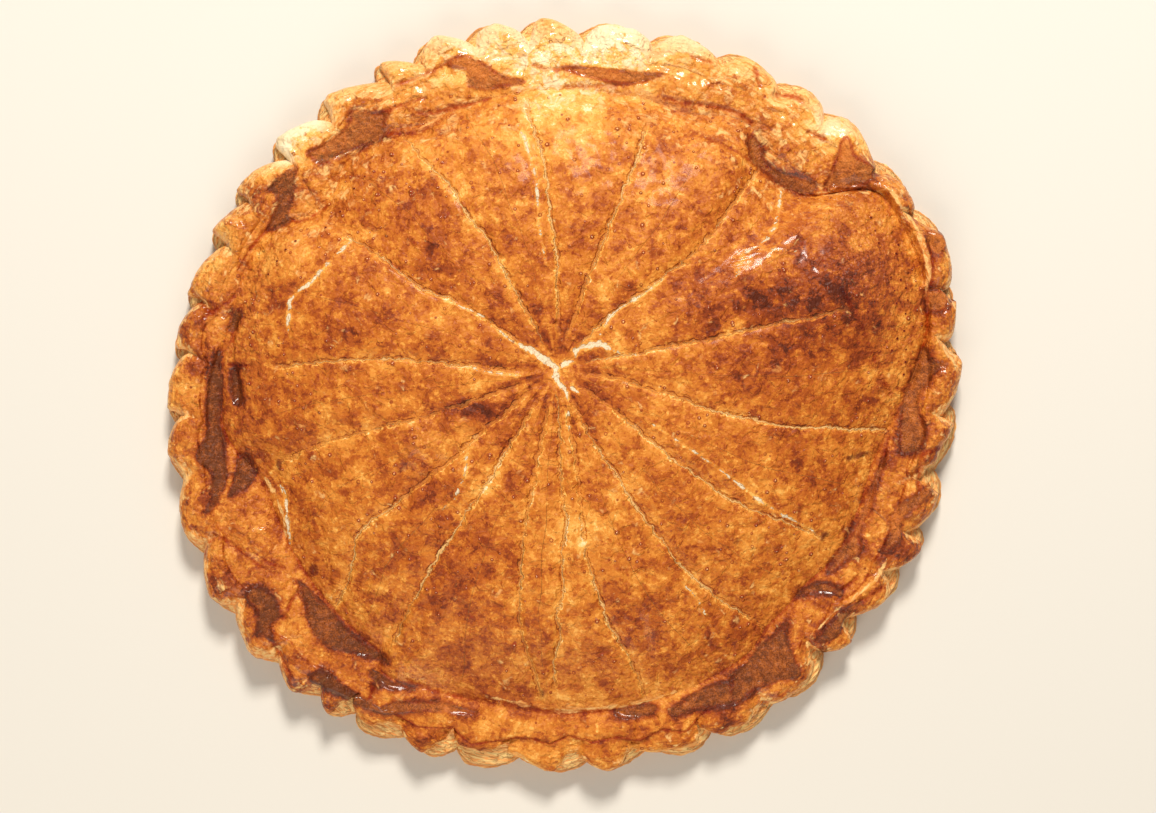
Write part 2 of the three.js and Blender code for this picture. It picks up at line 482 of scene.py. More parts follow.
SCORES = (
    Score(
        ((0, 11), (25, 10.8), (60, 10.5), (110, 11.5)),
        ((10, 0.1), (20, 0.5), (34, 0.3), (60, 0.15), (90, 0.3), (110, 0.1)),
    ),
    Score(
        ((0, 46), (31, 44.7), (44, 42), (67, 39.5), (79, 40.6), (104, 44), (110, 44.5)),
        ((12, 0.3), (30, 0.5), (50, 0.45), (70, 0.2), (110, 0.15)),
    ),
    Score(
        ((0, 71), (47, 70.5), (69, 68.8), (88, 69), (99, 69.7)),
        ((30, 0.1), (60, 0.4), (72, 0.9), (92, 0.7), (99, 0.2)),
    ),
    Score(
        ((0, 87), (30, 88.5), (44, 90.3), (57, 92.4), (73, 92.7), (88, 94.2), (104, 96.5)),
        ((20, 0.2), (40, 0.6), (60, 1.0), (75, 0.7), (90, 0.9), (104, 0.5)),
    ),
    Score(
        ((0, 118), (22, 118.5), (57, 117.7), (67, 120.3), (84, 120.2), (97, 122.3), (109, 123.4)),
        ((10, 0.2), (40, 0.5), (60, 0.8), (85, 0.5), (109, 0.2)),
    ),
    Score(
        ((0, 145), (30, 145.5), (42, 145.8), (63, 149.6), (72, 148.3), (82, 147.3), (97, 148)),
        ((46, 0.25), (56, 0.6), (64, 0.2), (75, 0.65), (83, 0.2), (97, 0.5)),
    ),
    Score(
        ((0, 190), (11, 188), (29, 178.5), (41, 177.2), (58, 176.2), (71, 177.4), (107, 179.5)),
        ((26, 0.1), (40, 0.35), (60, 0.5), (90, 0.4), (107, 0.2)),
    ),
    Score(
        ((0, 206), (30, 202), (65, 199.3), (91, 198), (112, 198.4)),
        ((40, -0.2), (60, 0.15), (90, 0.15), (112, -0.2)),
        depth=0.3,
    ),
    Score(
        ((0, 221), (45, 221), (82, 220), (91, 219), (102, 218.8), (108, 221.7), (127, 227)),
        ((32, -0.2), (74, -0.1), (80, 0.4), (95, 0.5), (107, 0.8), (114, 0.3), (127, 0.3)),
    ),
    Score(
        ((0, 240), (39, 238.8), (49, 238.7), (64, 237.9), (89, 237.8), (103, 238), (125, 239)),
        ((20, 0.1), (36, 0.4), (42, 1.0), (50, 0.6), (60, 0.3), (74, 0.8), (84, 1.5), (100, 1.0),
         (108, 0.3), (125, 0.2)),
        depth=0.6,
        lip=0.22,
    ),  # fmt: skip
    Score(
        ((0, 256), (30, 258), (68, 259), (98, 261), (128, 267)),
        ((30, -0.3), (60, 0.1), (80, 0.35), (110, 0.1), (128, 0.1)),
        depth=0.35,
    ),
    Score(
        ((0, 272), (38, 272), (60, 274), (72, 271.6), (86, 272), (95, 270), (104, 271),
         (114, 269), (123, 269.6)),
        ((10, 0.3), (40, 0.35), (52, 0.1), (60, 0.8), (66, 0.3), (84, 0.5), (98, 0.3), (110, 0.7),
         (123, 0.3)),
        depth=0.35,
    ),  # fmt: skip
    Score(
        ((0, 284), (40, 281), (73, 279.2), (93, 280.8), (105, 281.4), (116, 283.9), (131, 285)),
        ((40, -0.3), (70, 0.1), (84, 0.7), (104, 0.8), (114, 0.3), (131, 0.1)),
    ),
    Score(
        ((0, 297), (27, 295), (46, 298.9), (62, 300.2), (89, 302), (116, 305.1), (130, 308.4)),
        ((20, 0.1), (38, 0.5), (60, 0.8), (80, 0.4), (95, 0.9), (110, 0.7), (124, 0.2)),
        depth=0.5,
        lip=0.2,
    ),
    Score(
        ((0, 325), (50, 322), (73, 322.3), (90, 323.5), (110, 325.9), (123, 327.6)),
        ((30, 0.1), (50, 0.6), (72, 0.8), (90, 0.6), (110, 0.5), (123, 0.2)),
        depth=0.5,
        lip=0.2,
    ),
    Score(
        ((0, 352), (21, 350), (37, 347), (65, 344.7), (94, 345.7), (117, 347.9), (136, 349.4)),
        ((20, 0.1), (50, 0.3), (62, 0.7), (94, 1.0), (120, 0.9), (136, 0.3)),
        depth=0.5,
        lip=0.2,
    ),
)

# Cracks that have opened at the hub and between the scores, measured from the hub
OPEN_CRACKS = (
    Stroke(((180, 0.5, 1.1), (144, 8.6, 1.4), (146, 14.4, 0.8), (149, 21, 0.2), (145, 31.6, 0.0),
            (146, 39.7, 0.2), (149, 51, -0.2)), HUB),
    Stroke(((34, 2.9, 0.9), (26, 7, 0.5), (36, 9, 0.3), (43, 10.3, 0.7), (30, 19, 1.1), (15.4, 23.8, 0.1),
            (9.3, 31.4, 0.0)), HUB),
    Stroke(((38, 21, 0.1), (44, 30, 0.2), (41, 41.5, 0.25), (39.5, 55, -0.1)), HUB),
    Stroke(((178, 37, -0.2), (180.4, 31, 0.1), (184.8, 24, 0.25), (191, 14.3, -0.1)), HUB),
    Stroke(((262, 3, 1.1), (280, 6.5, 0.8), (292, 9.3, 0.5), (285, 17.6, 0.1), (282, 24, 0.0)), HUB),
    Stroke(((308, 9, 0.7), (312, 12, 0.4)), HUB),
)  # fmt: skip

# Torn edges of the lid away from the scores, measured from the hub
TEARS = (
    Stroke(((26.5, 77, 0.2), (29.7, 80.5, 0.5), (31.5, 86, 0.2), (31.1, 93.3, 0.5), (34, 102.8, 0.5),
            (38.5, 112, 0.1)), HUB),
    Stroke(((31.5, 86, 0.1), (28.5, 96, 0.0), (25.5, 104, 0.0)), HUB),
    Stroke(((148.3, 94, 0.1), (152, 95.5, 0.5), (155.2, 97.5, 0.2), (160.4, 100.5, 0.7), (163, 104, 0.3),
            (165.2, 106.6, 0.6), (168, 106, 0.2), (170.8, 105.5, 0.4), (174, 104, 0.0)), HUB),
    Stroke(((200, 119, 0.1), (205, 117.5, 0.5), (209, 121, 0.6), (213, 125, 0.3), (216, 129, 0.0)), HUB),
    Stroke(((222, 45.7, 0.0), (229, 54.3, 0.3), (232, 64, 0.2), (230.5, 71, -0.2)), HUB),
    Stroke(((330, 32, -0.2), (329, 55, 0.1), (328, 76, 0.3), (326.9, 96, 0.2), (327.6, 118, 0.0)), HUB),
    Stroke(((300.4, 96, 0.0), (301.4, 106, 0.3), (300.8, 117, 0.0), (301.3, 129, 0.0)), HUB),
    Stroke(((96, 40, -0.2), (97, 56, 0.1), (96.2, 72, 0.2), (97.5, 86, 0.3), (99, 96, 0.0)), HUB),
)  # fmt: skip

# Sunken patches where glaze and juice have pooled, from the middle of the pie
POOLS = (
    Patch(((351.5, 132.5), (352, 139), (355.5, 141), (360, 137.5), (363, 142), (365, 144.5),
           (365.7, 150), (366.2, 144), (368.5, 143), (368, 141), (365, 137), (360, 132.5), (356, 131.5))),
    Patch(((14, 147), (13.8, 153), (15.5, 155.5), (17, 152), (17.2, 148), (15.8, 147))),
    Patch(((21.7, 156), (22.5, 161), (24, 161.5), (25, 158), (24, 155))),
    Patch(((37.3, 152), (36, 146), (37, 140), (39, 135), (39.8, 132.5), (41.5, 142), (43.5, 148),
           (43, 151.5), (40.5, 148.5))),
    Patch(((40.5, 129), (42.5, 129.5), (46, 124.7), (50, 122.5), (52.5, 126), (55.5, 127.7), (55, 124),
           (53, 120.7), (50, 119), (46, 120), (43, 122.5), (40.5, 126.5))),
    Patch(((73.5, 133.7), (76, 132.5), (80, 131.5), (84, 131.3), (90, 131.2), (90, 129.9), (84, 126.8),
           (80, 126.4), (76, 130))),
    Patch(((98, 127.4), (101, 130), (104, 137), (106, 141), (108.5, 141.5), (109, 139), (106.5, 135),
           (107, 129.5), (104, 126.6), (98, 126))),
    Patch(((122, 133.3), (125, 139), (126.3, 142), (128, 138.4), (131, 137.6), (134, 139), (136, 141),
           (136, 135), (133, 132), (130, 129.4), (127, 127.4), (124.5, 126.2), (123, 131))),
    Patch(((139, 140.7), (144, 143), (144.5, 139), (146, 136), (150, 135.2), (146.8, 129.4), (146, 132),
           (143.5, 133.7), (141, 137))),
    Patch(((172.5, 138.2), (176, 140), (180, 141), (184, 141), (186, 142), (188.3, 146.2), (190.5, 142.7),
           (192, 141.5), (195, 144), (197, 147), (196.5, 144), (195, 140), (193, 137.2), (190, 136),
           (186, 135.6), (183, 137.2), (180, 135.6), (172.5, 137))),
    Stroke(((174.8, 130.5, 1.5), (177.5, 129.4, 1.9), (179.5, 128.6, 1.4))),
    Patch(((189.5, 127), (190, 131), (192, 131.5), (195.5, 137), (195, 132), (194, 127), (192, 125.5))),
    Patch(((211.5, 147), (210.3, 142), (213.5, 137.6), (216.5, 140.3), (216.8, 145), (219, 148),
           (217.5, 149), (216.8, 152), (216, 149), (214, 146))),
    Patch(((214, 126), (215, 126.8), (218, 129.4), (220.5, 132.5), (223.5, 134), (226, 133.3),
           (229, 129.8), (235, 124.2), (235, 123), (229, 124), (224, 123.6), (220, 124.2))),
    Patch(((227.5, 142.7), (227.5, 148), (231, 145.4), (236, 143.9), (240, 141.5), (240, 140.3),
           (236, 141), (231, 141.5))),
    Stroke(((234.7, 130.5, 1.1), (238, 131, 1.2), (240, 128.6, 0.8), (242, 126.6, 0.3))),
    Stroke(((239.7, 140, 1.8), (241, 137.2, 2.2), (243, 134, 2.1), (246, 130.5, 1.9), (250, 128.2, 1.5),
            (253.5, 127.4, 0.7))),
    Patch(((279, 124), (281, 126.2), (285, 126.6), (286.5, 124.5), (284, 122.5), (280, 122.3))),
    Patch(((288.5, 129.4), (290, 131), (294, 131), (296.5, 133.7), (299, 135.2), (300, 127), (296, 124.7),
           (292, 125.4), (289, 127.4))),
    Patch(((299, 135.6), (303, 135.2), (306.5, 136), (310.5, 141), (311, 137.2), (312, 131.3),
           (313.5, 125.4), (315, 123), (312, 122.3), (308, 123), (305, 125), (301, 126.6))),
    Stroke(((312.5, 148.2, 0.7), (314.5, 144.3, 1.3), (316, 140, 1.1))),
    Patch(((316.5, 136), (318, 139), (319.5, 140.3), (321, 139.2), (324.5, 138.5), (326, 139.5),
           (323, 136), (320, 134.8))),
    Stroke(((325, 130.5, 1.1), (324.5, 125.5, 2.1), (323, 122, 1.7), (320.5, 118.8, 0.9))),
    Patch(((327, 122.3), (328, 124.7), (331, 127), (333.5, 129.8), (335.5, 126.6), (340, 126.2),
           (345, 125.8), (350, 127.4), (348, 125.6), (340, 124.2), (333, 123.3))),
    Stroke(((335, 138, 1.1), (338, 139.6, 1.8), (340, 137.2, 1.7), (342.5, 138.8, 1.9), (344.5, 143, 1.8),
            (346.5, 146.6, 1.2))),
    Stroke(((165.3, 133.5, 1.3), (167.3, 133.8, 1.3))),
)  # fmt: skip

# How dark the pools are round the pie
POOL_TONES = (
    Swell(30, 44, 50, 60, 0.20),
    Swell(50, 64, 112, 126, 0.42),
    Swell(112, 130, 132, 144, 0.24),
    Swell(130, 143, 232, 262, 0.42),
    Swell(262, 280, 322, 346, 0.34),
    Swell(338, 350, 365, 380, 0.24),
)

# Folds of the border, dented a little and painted dark as painted shade, from the middle of the pie
FOLDS = (
    Stroke(((173.5, 124.7, 0.4), (173.7, 129, 0.6), (173.5, 133.3, 0.3))),
    Stroke(((51.5, 149.4, 0.5), (53, 150, 0.8), (54.5, 148.2, 0.7), (56, 145.4, 0.3))),
    Stroke(((0.5, 128, 0.1), (1.5, 127, 0.7), (3, 125.2, 0.6), (6, 122.3, 0.25), (12, 119, 0.1),
            (16, 117, 0.3), (21, 115, 0.5), (25, 114, 0.1))),
    Stroke(((17.2, 147.5, 0.8), (14, 146, 0.7), (10, 143, 0.6), (2, 135.5, 0.4))),
    Stroke(((24, 156, 0.7), (20, 152.5, 0.5), (17, 149, 0.3))),
    Stroke(((43.5, 151, 0.4), (41, 139, 0.6), (39.3, 131.5, 0.5))),
    Stroke(((60.5, 150.5, 0.5), (58.5, 145, 0.3))),
    Stroke(((53, 118.8, 0.5), (58, 117.2, 0.4), (65, 116.4, 0.2))),
    Stroke(((56.5, 131.3, 0.6), (60, 131.3, 0.5), (64, 129, 0.5), (68, 126.2, 0.4), (72, 125.4, 0.3))),
    Stroke(((45.5, 144.3, 0.6), (48, 141.9, 0.3))),
    Stroke(((67, 144.6, 0.5), (70, 143.9, 0.4))),
    Stroke(((76, 129.5, 0.3), (80, 126.2, 0.4), (85, 124.3, 0.4), (90, 123.5, 0.3))),
    Stroke(((88, 130.7, 0.5), (93, 130.5, 0.4), (95.5, 132.5, 0.3))),
    Stroke(((107, 141.1, 0.6), (110, 140.3, 0.5), (114, 139.9, 0.4), (118, 140.7, 0.3))),
    Stroke(((104, 122.7, 0.3), (108, 122.7, 0.4), (111, 123.5, 0.9), (115, 125, 0.5), (117, 127.4, 0.3))),
    Stroke(((115, 131.3, 0.4), (119, 132.9, 0.5), (123, 134, 0.6))),
    Stroke(((114, 120.7, 0.3), (118, 120, 0.4), (121, 122.3, 0.5), (123.5, 126.2, 0.6))),
    Stroke(((150, 135.2, 0.7), (153, 137.2, 0.5), (158, 138.4, 0.2))),
    Stroke(((146.5, 129.4, 0.6), (145.5, 125.4, 0.4), (142, 121.9, 0.4), (139, 120.7, 0.2))),
    Stroke(((162.5, 131.7, 0.3), (166, 133.4, 0.6), (172, 132, 0.3))),
    Stroke(((163.5, 152.9, 0.3), (165, 148.2, 0.6), (166, 143, 1.0))),
    Stroke(((167, 145.8, 0.5), (164, 139.2, 0.4), (162, 136, 0.2))),
    Stroke(((201.5, 145, 0.4), (203.5, 141.9, 0.5), (206, 138.4, 0.5), (208.5, 136, 0.5), (211, 131.3, 0.3))),
    Stroke(((207.5, 134.1, 0.4), (210.5, 128.6, 0.3))),
    Stroke(((201, 147, 0.4), (202, 152.1, 0.4), (203.5, 154.8, 0.2))),
    Stroke(((217.5, 139.2, 0.4), (216, 133.3, 0.4), (215.5, 128.6, 0.3))),
    Stroke(((219, 148.5, 0.4), (225, 152, 0.3))),
    Stroke(((236.5, 139.2, 0.6), (235.5, 134, 0.4))),
    Stroke(((240, 125.4, 0.5), (245, 124.7, 0.5), (250, 123.1, 0.6), (255, 121.5, 0.5), (262, 120.7, 0.5),
            (267, 121.9, 0.5), (275, 121.9, 0.5), (280, 123.1, 0.5))),
    Stroke(((307, 148.2, 0.5), (312, 149, 0.6), (315, 147.8, 0.5), (316.5, 145, 0.3))),
    Stroke(((326, 139.5, 0.6), (328, 142, 0.5), (330, 144, 0.3))),
    Stroke(((325.8, 131.3, 0.4), (329, 133.3, 0.3))),
    Stroke(((335, 127.4, 0.5), (335.3, 133.3, 0.4))),
    Stroke(((348, 126, 0.5), (354, 127.5, 0.3))),
    Stroke(((345, 143.1, 0.6), (350, 140.7, 0.5), (352, 141.1, 0.5), (352.5, 145.8, 0.5), (354, 150.5, 0.3))),
)  # fmt: skip

# Pale torn lips of dough, from the middle of the pie
LIPS = (
    Stroke(((15, 146.5, 0.2), (17.5, 148.2, 0.7), (20, 150.9, 1.1), (23, 152.5, 1.2), (27, 152.5, 1.0),
            (33.5, 151.3, 0.7))),
    # This lip is widened along the pool's lower edge near 37 to 39 degrees as a painted highlight.
    Stroke(((33.5, 151.3, 0.4), (35, 143, 0.4), (37, 136, 0.8), (39, 129.4, 0.8), (41, 126.2, 0.3))),
    Stroke(((194, 122.3, 0.3), (196, 120.7, 0.6), (199, 119.2, 0.8), (203, 120, 0.7), (207, 124.3, 0.5))),
    Stroke(((318, 133, 0.3), (322.5, 133.7, 0.5), (325, 135.6, 0.7), (328, 138, 0.6), (331, 140.3, 0.5),
            (334, 139.9, 0.3))),
    Stroke(((316.5, 147, 0.6), (317, 140.3, 0.4))),
    Stroke(((160.7, 124.7, 0.3), (160.7, 130, 0.3))),
    Stroke(((255, 119.4, 0.4), (266, 120.4, 0.9), (274, 120.4, 1.1), (282, 121.2, 0.9), (291, 121.6, 0.4))),
)  # fmt: skip

# Where the oven has browned the crust more, or less, from the middle of the pie. The paler patches on the top
# side, round 45 to 140 degrees on the border and at 92 degrees on the lid, are painted light: the brightness
# the key light from the top gives there.
BROWNING_AND_TOP_LIGHT = (
    Hump(21, 112, 44, 33, 0.34),
    Hump(0, 84, 46, 34, 0.09),
    Hump(22, 80, 40, 34, 0.17),
    Hump(157, 84, 34, 34, 0.09),
    Hump(247, 80, 40, 40, 0.11),
    Hump(225, 146, 20, 40, 0.06),
    # The paler patches on the border at 45 and 136 degrees are painted light from the top.
    Hump(45, 148, 14, 24, -0.28),
    Hump(136, 148, 16, 30, -0.44),
    Hump(157, 150, 13, 34, -0.24),
    Hump(150, 126, 18, 34, -0.14),
    Hump(184, 151, 10, 36, -0.12),
    Hump(45, 84, 30, 30, 0.08),
    Hump(132, 90, 40, 40, 0.06),
    Hump(222, 90, 40, 40, 0.05),
    Hump(22, 114, 14, 10, 0.26),
    Hump(10, 108, 18, 12, 0.12),
    Hump(12, 75, 20, 14, 0.14),
    Hump(184, 38, 17, 6, 0.55),
    Hump(212, 60, 22, 15, 0.22),
    Hump(290, 94, 22, 18, 0.22),
    Hump(130, 76, 20, 16, 0.16),
    Hump(78, 78, 16, 12, 0.14),
    Hump(26, 62, 9, 6, 0.22),
    Hump(61, 48, 10, 5, 0.30),
    Hump(183, 112, 26, 18, 0.16),
    Hump(160, 118, 16, 14, 0.20),
    Hump(173, 145, 9, 9, 0.30),
    Hump(330, 92, 22, 14, 0.10),
    Hump(305, 112, 20, 24, 0.10),
    Hump(250, 112, 16, 24, 0.10),
    Hump(272, 48, 14, 12, -0.26),
    # The paler patch at the top of the lid is painted light from the top.
    Hump(92, 110, 22, 50, -0.30),
    Hump(8, 152, 10, 36, -0.16),
    Hump(122, 112, 10, 14, -0.16),
    Hump(352, 55, 18, 16, -0.08),
    Hump(226, 50, 22, 8, -0.10),
    # These paler patches along the top border are painted light from the top.
    Hump(92, 150, 34, 130, -0.36),
    Hump(92, 134, 26, 120, -0.32),
    Hump(92, 122, 14, 70, -0.10),
    Hump(52, 148, 18, 44, -0.30),
    Hump(134, 148, 18, 44, -0.36),
    Hump(262, 128, 10, 60, -0.12),
    Hump(268, 142, 12, 80, -0.14),
)

# Scorched spots, from the middle of the pie
SPOTS = (
    Stroke(((213, 118, 1.1), (213.8, 119.2, 1.7))),
    Stroke(((192, 114.5, 1.4), (193, 114.8, 0.7))),
    Stroke(((320.5, 85, 1.0), (321.4, 86, 0.5))),
    Stroke(((331.8, 113.4, 0.8), (333, 114, 1.4))),
    Stroke(((26, 61, 0.8), (26.8, 62.4, 0.6))),
    Stroke(((265.4, 113.3, 0.8), (265.5, 115, 0.7))),
    Stroke(((348.5, 112, 0.3), (349.6, 116, 1.0), (350.5, 121, 0.3))),
)  # fmt: skip


# Pricked holes, from the middle of the pie: direction, radius and size
PRICKS = (
    (4.5, 132.5, 0.5), (6.5, 133.3, 0.5), (8.8, 134.5, 0.42), (9, 128.2, 0.58), (10.8, 131.3, 0.58),
    (12, 134.5, 0.5), (12.5, 138.4, 0.42), (14.5, 137.2, 0.42), (16.5, 139.6, 0.42),
    (18.5, 139.6, 0.58), (20, 139.2, 0.64), (16.5, 134.5, 0.5), (18.8, 134.5, 0.42), (21, 135.6, 0.5),
    (24, 141.1, 0.64), (25, 143.1, 0.64), (16.5, 122.3, 0.5), (27, 124.3, 0.5), (27, 136.8, 0.5),
    (29, 137.6, 0.42), (31, 139.2, 0.5), (49.5, 121.5, 0.5), (132, 117.6, 0.42), (135, 116.8, 0.5),
    (140, 115.6, 0.5), (144, 115.6, 0.5), (149, 122.3, 0.5), (151.5, 123.5, 0.5), (154, 125.4, 0.5),
    (156.5, 126.2, 0.5), (201, 132.1, 0.42),
)  # fmt: skip


# ----------------------------------------------------------------------------- shared surveys


@dataclass
class Survey:
    """Reads the marks of the pie at points of its plan."""

    noise: Noise = field(default_factory=lambda: Noise(11))

    def crease_height(self, angle: Array) -> Array:
        """The height of the crease between border and lid."""
        x, y = plan(angle, 40.0)
        shallow = 2.6 * (1 - swells_at(angle, CREASE_DEPTHS))
        return CREASE_HEIGHT + shallow + 0.7 * self.noise.at(x, y, 3.0, 22.0)

    def gloss(self, x: Array, y: Array) -> Array:
        """How thickly the egg wash lies, about 0 to 1."""
        rim = smoothstep(np.hypot(x, y), 112.0, 128.0)
        return np.clip(0.06 + 0.50 * rim + humps_at(x, y, GLOSSY), 0.0, 1.0)

    def pools(self, x: Array, y: Array) -> Array:
        """How deep points lie inside a pool."""
        return cover_of(POOLS, x, y)

    def pool_browning(self, angle: Array, pool: Array) -> Array:
        """How much darker the crust is in a pool."""
        return swells_at(angle, POOL_TONES) * smoothstep(pool, -1.2, 0.3)

    def sink(self, x: Array, y: Array, z: Array, pool: Array, floor: Array) -> Array:
        """Lets the crust down to a floor in the pools, with a soft lip round each.

        Args:
            x: first coordinate.
            y: second coordinate.
            z: height of the crust without the pools.
            pool: how deep each point lies inside a pool.
            floor: height of the pools' floor at each point.

        Returns:
            The new heights.
        """
        share = 0.55 * smoothstep(pool, -0.6, 0.9) + 0.30 * smoothstep(pool, -3.0, 0.6)
        grain = 0.14 * self.noise.at(x, y, 5.0, 2.2)
        return blend(z, floor + grain, share)

    def brown(self, x: Array, y: Array) -> Array:
        """How brown the crust is at points, about 0 to 1, painted paler on the top side as painted light."""
        drift = 0.10 * self.noise.layered(x, y, 34.0, 3)
        return 0.50 + humps_at(x, y, BROWNING_AND_TOP_LIGHT) + drift


SURVEY = Survey()


# ----------------------------------------------------------------------------- mesh work

# What each mark reads where there is nothing of its kind
NEUTRAL = {
    Field.BROWN: 0.45,
    Field.CRACK: -FAR,
    Field.POOL: -FAR,
    Field.LINE: -FAR,
    Field.PALE: 0.0,
    Field.SPOT: -FAR,
    Field.BUBBLE: 0.0,
    Field.SIDE: FAR,
    Field.WIDTH: -1.0,
    Field.GROOVE: 0.0,
    Field.GLOSS: 1.0,
    Field.LEAF: 0.0,
}


def write_points(piece: bpy.types.Object, x: Array, y: Array, z: Array) -> None:
    """Moves a mesh's points to places given in millimetres."""
    spots = np.stack([x + CENTRING[0], y + CENTRING[1], z], axis=-1).reshape(-1) * MM
    piece.data.vertices.foreach_set("co", spots.astype(np.float32))
    piece.data.update()


def read_points(piece: bpy.types.Object) -> Array:
    """A mesh's points, in its own units."""
    spots = np.empty(len(piece.data.vertices) * 3, dtype=np.float32)
    piece.data.vertices.foreach_get("co", spots)
    return spots.reshape(-1, 3).astype(float)


def write_field(piece: bpy.types.Object, name: Field, values: Array) -> None:
    """Keeps one value at each point of a mesh."""
    kept = piece.data.attributes.new(name.value, "FLOAT", "POINT")
    kept.data.foreach_set("value", values.astype(np.float32))


def write_marks(piece: bpy.types.Object, values: dict[Field, Array]) -> None:
    """Keeps all the marks of a piece of crust; one not given is left neutral."""
    for name, neutral in NEUTRAL.items():
        write_field(piece, name, values.get(name, np.full(len(piece.data.vertices), neutral)))


def start_grid(name: str, columns: int, rings: int) -> tuple[bpy.types.Object, Array, Array]:
    """Adds a flat grid to shape, and numbers its points.

    Args:
        name: name of the piece.
        columns: faces from its first side to its last.
        rings: faces the other way.

    Returns:
        The piece, and each point's column and ring.
    """
    bpy.ops.object.select_all(action="DESELECT")
    bpy.ops.mesh.primitive_grid_add(x_subdivisions=columns, y_subdivisions=rings, size=2.0)
    piece = bpy.context.active_object
    piece.name = name
    piece.data.name = name
    spots = read_points(piece)
    column = np.rint((spots[:, 0] + 1) / 2 * columns).astype(int)
    ring = np.rint((spots[:, 1] + 1) / 2 * rings).astype(int)
    return piece, column, ring


def close_skin(piece: bpy.types.Object) -> None:
    """Merges a skin's seam and poles, turns its faces outwards and shades it smooth."""
    bpy.ops.object.select_all(action="DESELECT")
    piece.select_set(True)
    bpy.context.view_layer.objects.active = piece
    bpy.ops.object.mode_set(mode="EDIT")
    bpy.ops.mesh.select_all(action="SELECT")
    bpy.ops.mesh.remove_doubles(threshold=1e-6)
    bpy.ops.mesh.dissolve_degenerate(threshold=1e-8)
    bpy.ops.mesh.normals_make_consistent(inside=False)
    bpy.ops.object.mode_set(mode="OBJECT")
    bpy.ops.object.shade_smooth()


def hand_over(piece: bpy.types.Object, material: bpy.types.Material) -> None:
    """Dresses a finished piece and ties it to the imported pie."""
    piece.data.materials.clear()
    piece.data.materials.append(material)
    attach(piece, "root")
    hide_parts("galette")
    faces = sum(len(face.vertices) - 2 for face in piece.data.polygons)
    LOG.info("%s: %d points, %d triangles", piece.name, len(piece.data.vertices), faces)


# ----------------------------------------------------------------------------- finishes


def tint(red: int, green: int, blue: int) -> Rgb:
    """A colour from the values of a colour chart, 0 to 255, to the ones a shader mixes."""
    shares = np.array([red, green, blue]) / 255
    linear = np.where(shares <= 0.04045, shares / 12.92, ((shares + 0.055) / 1.055) ** 2.4)
    return tuple(float(value) for value in linear)


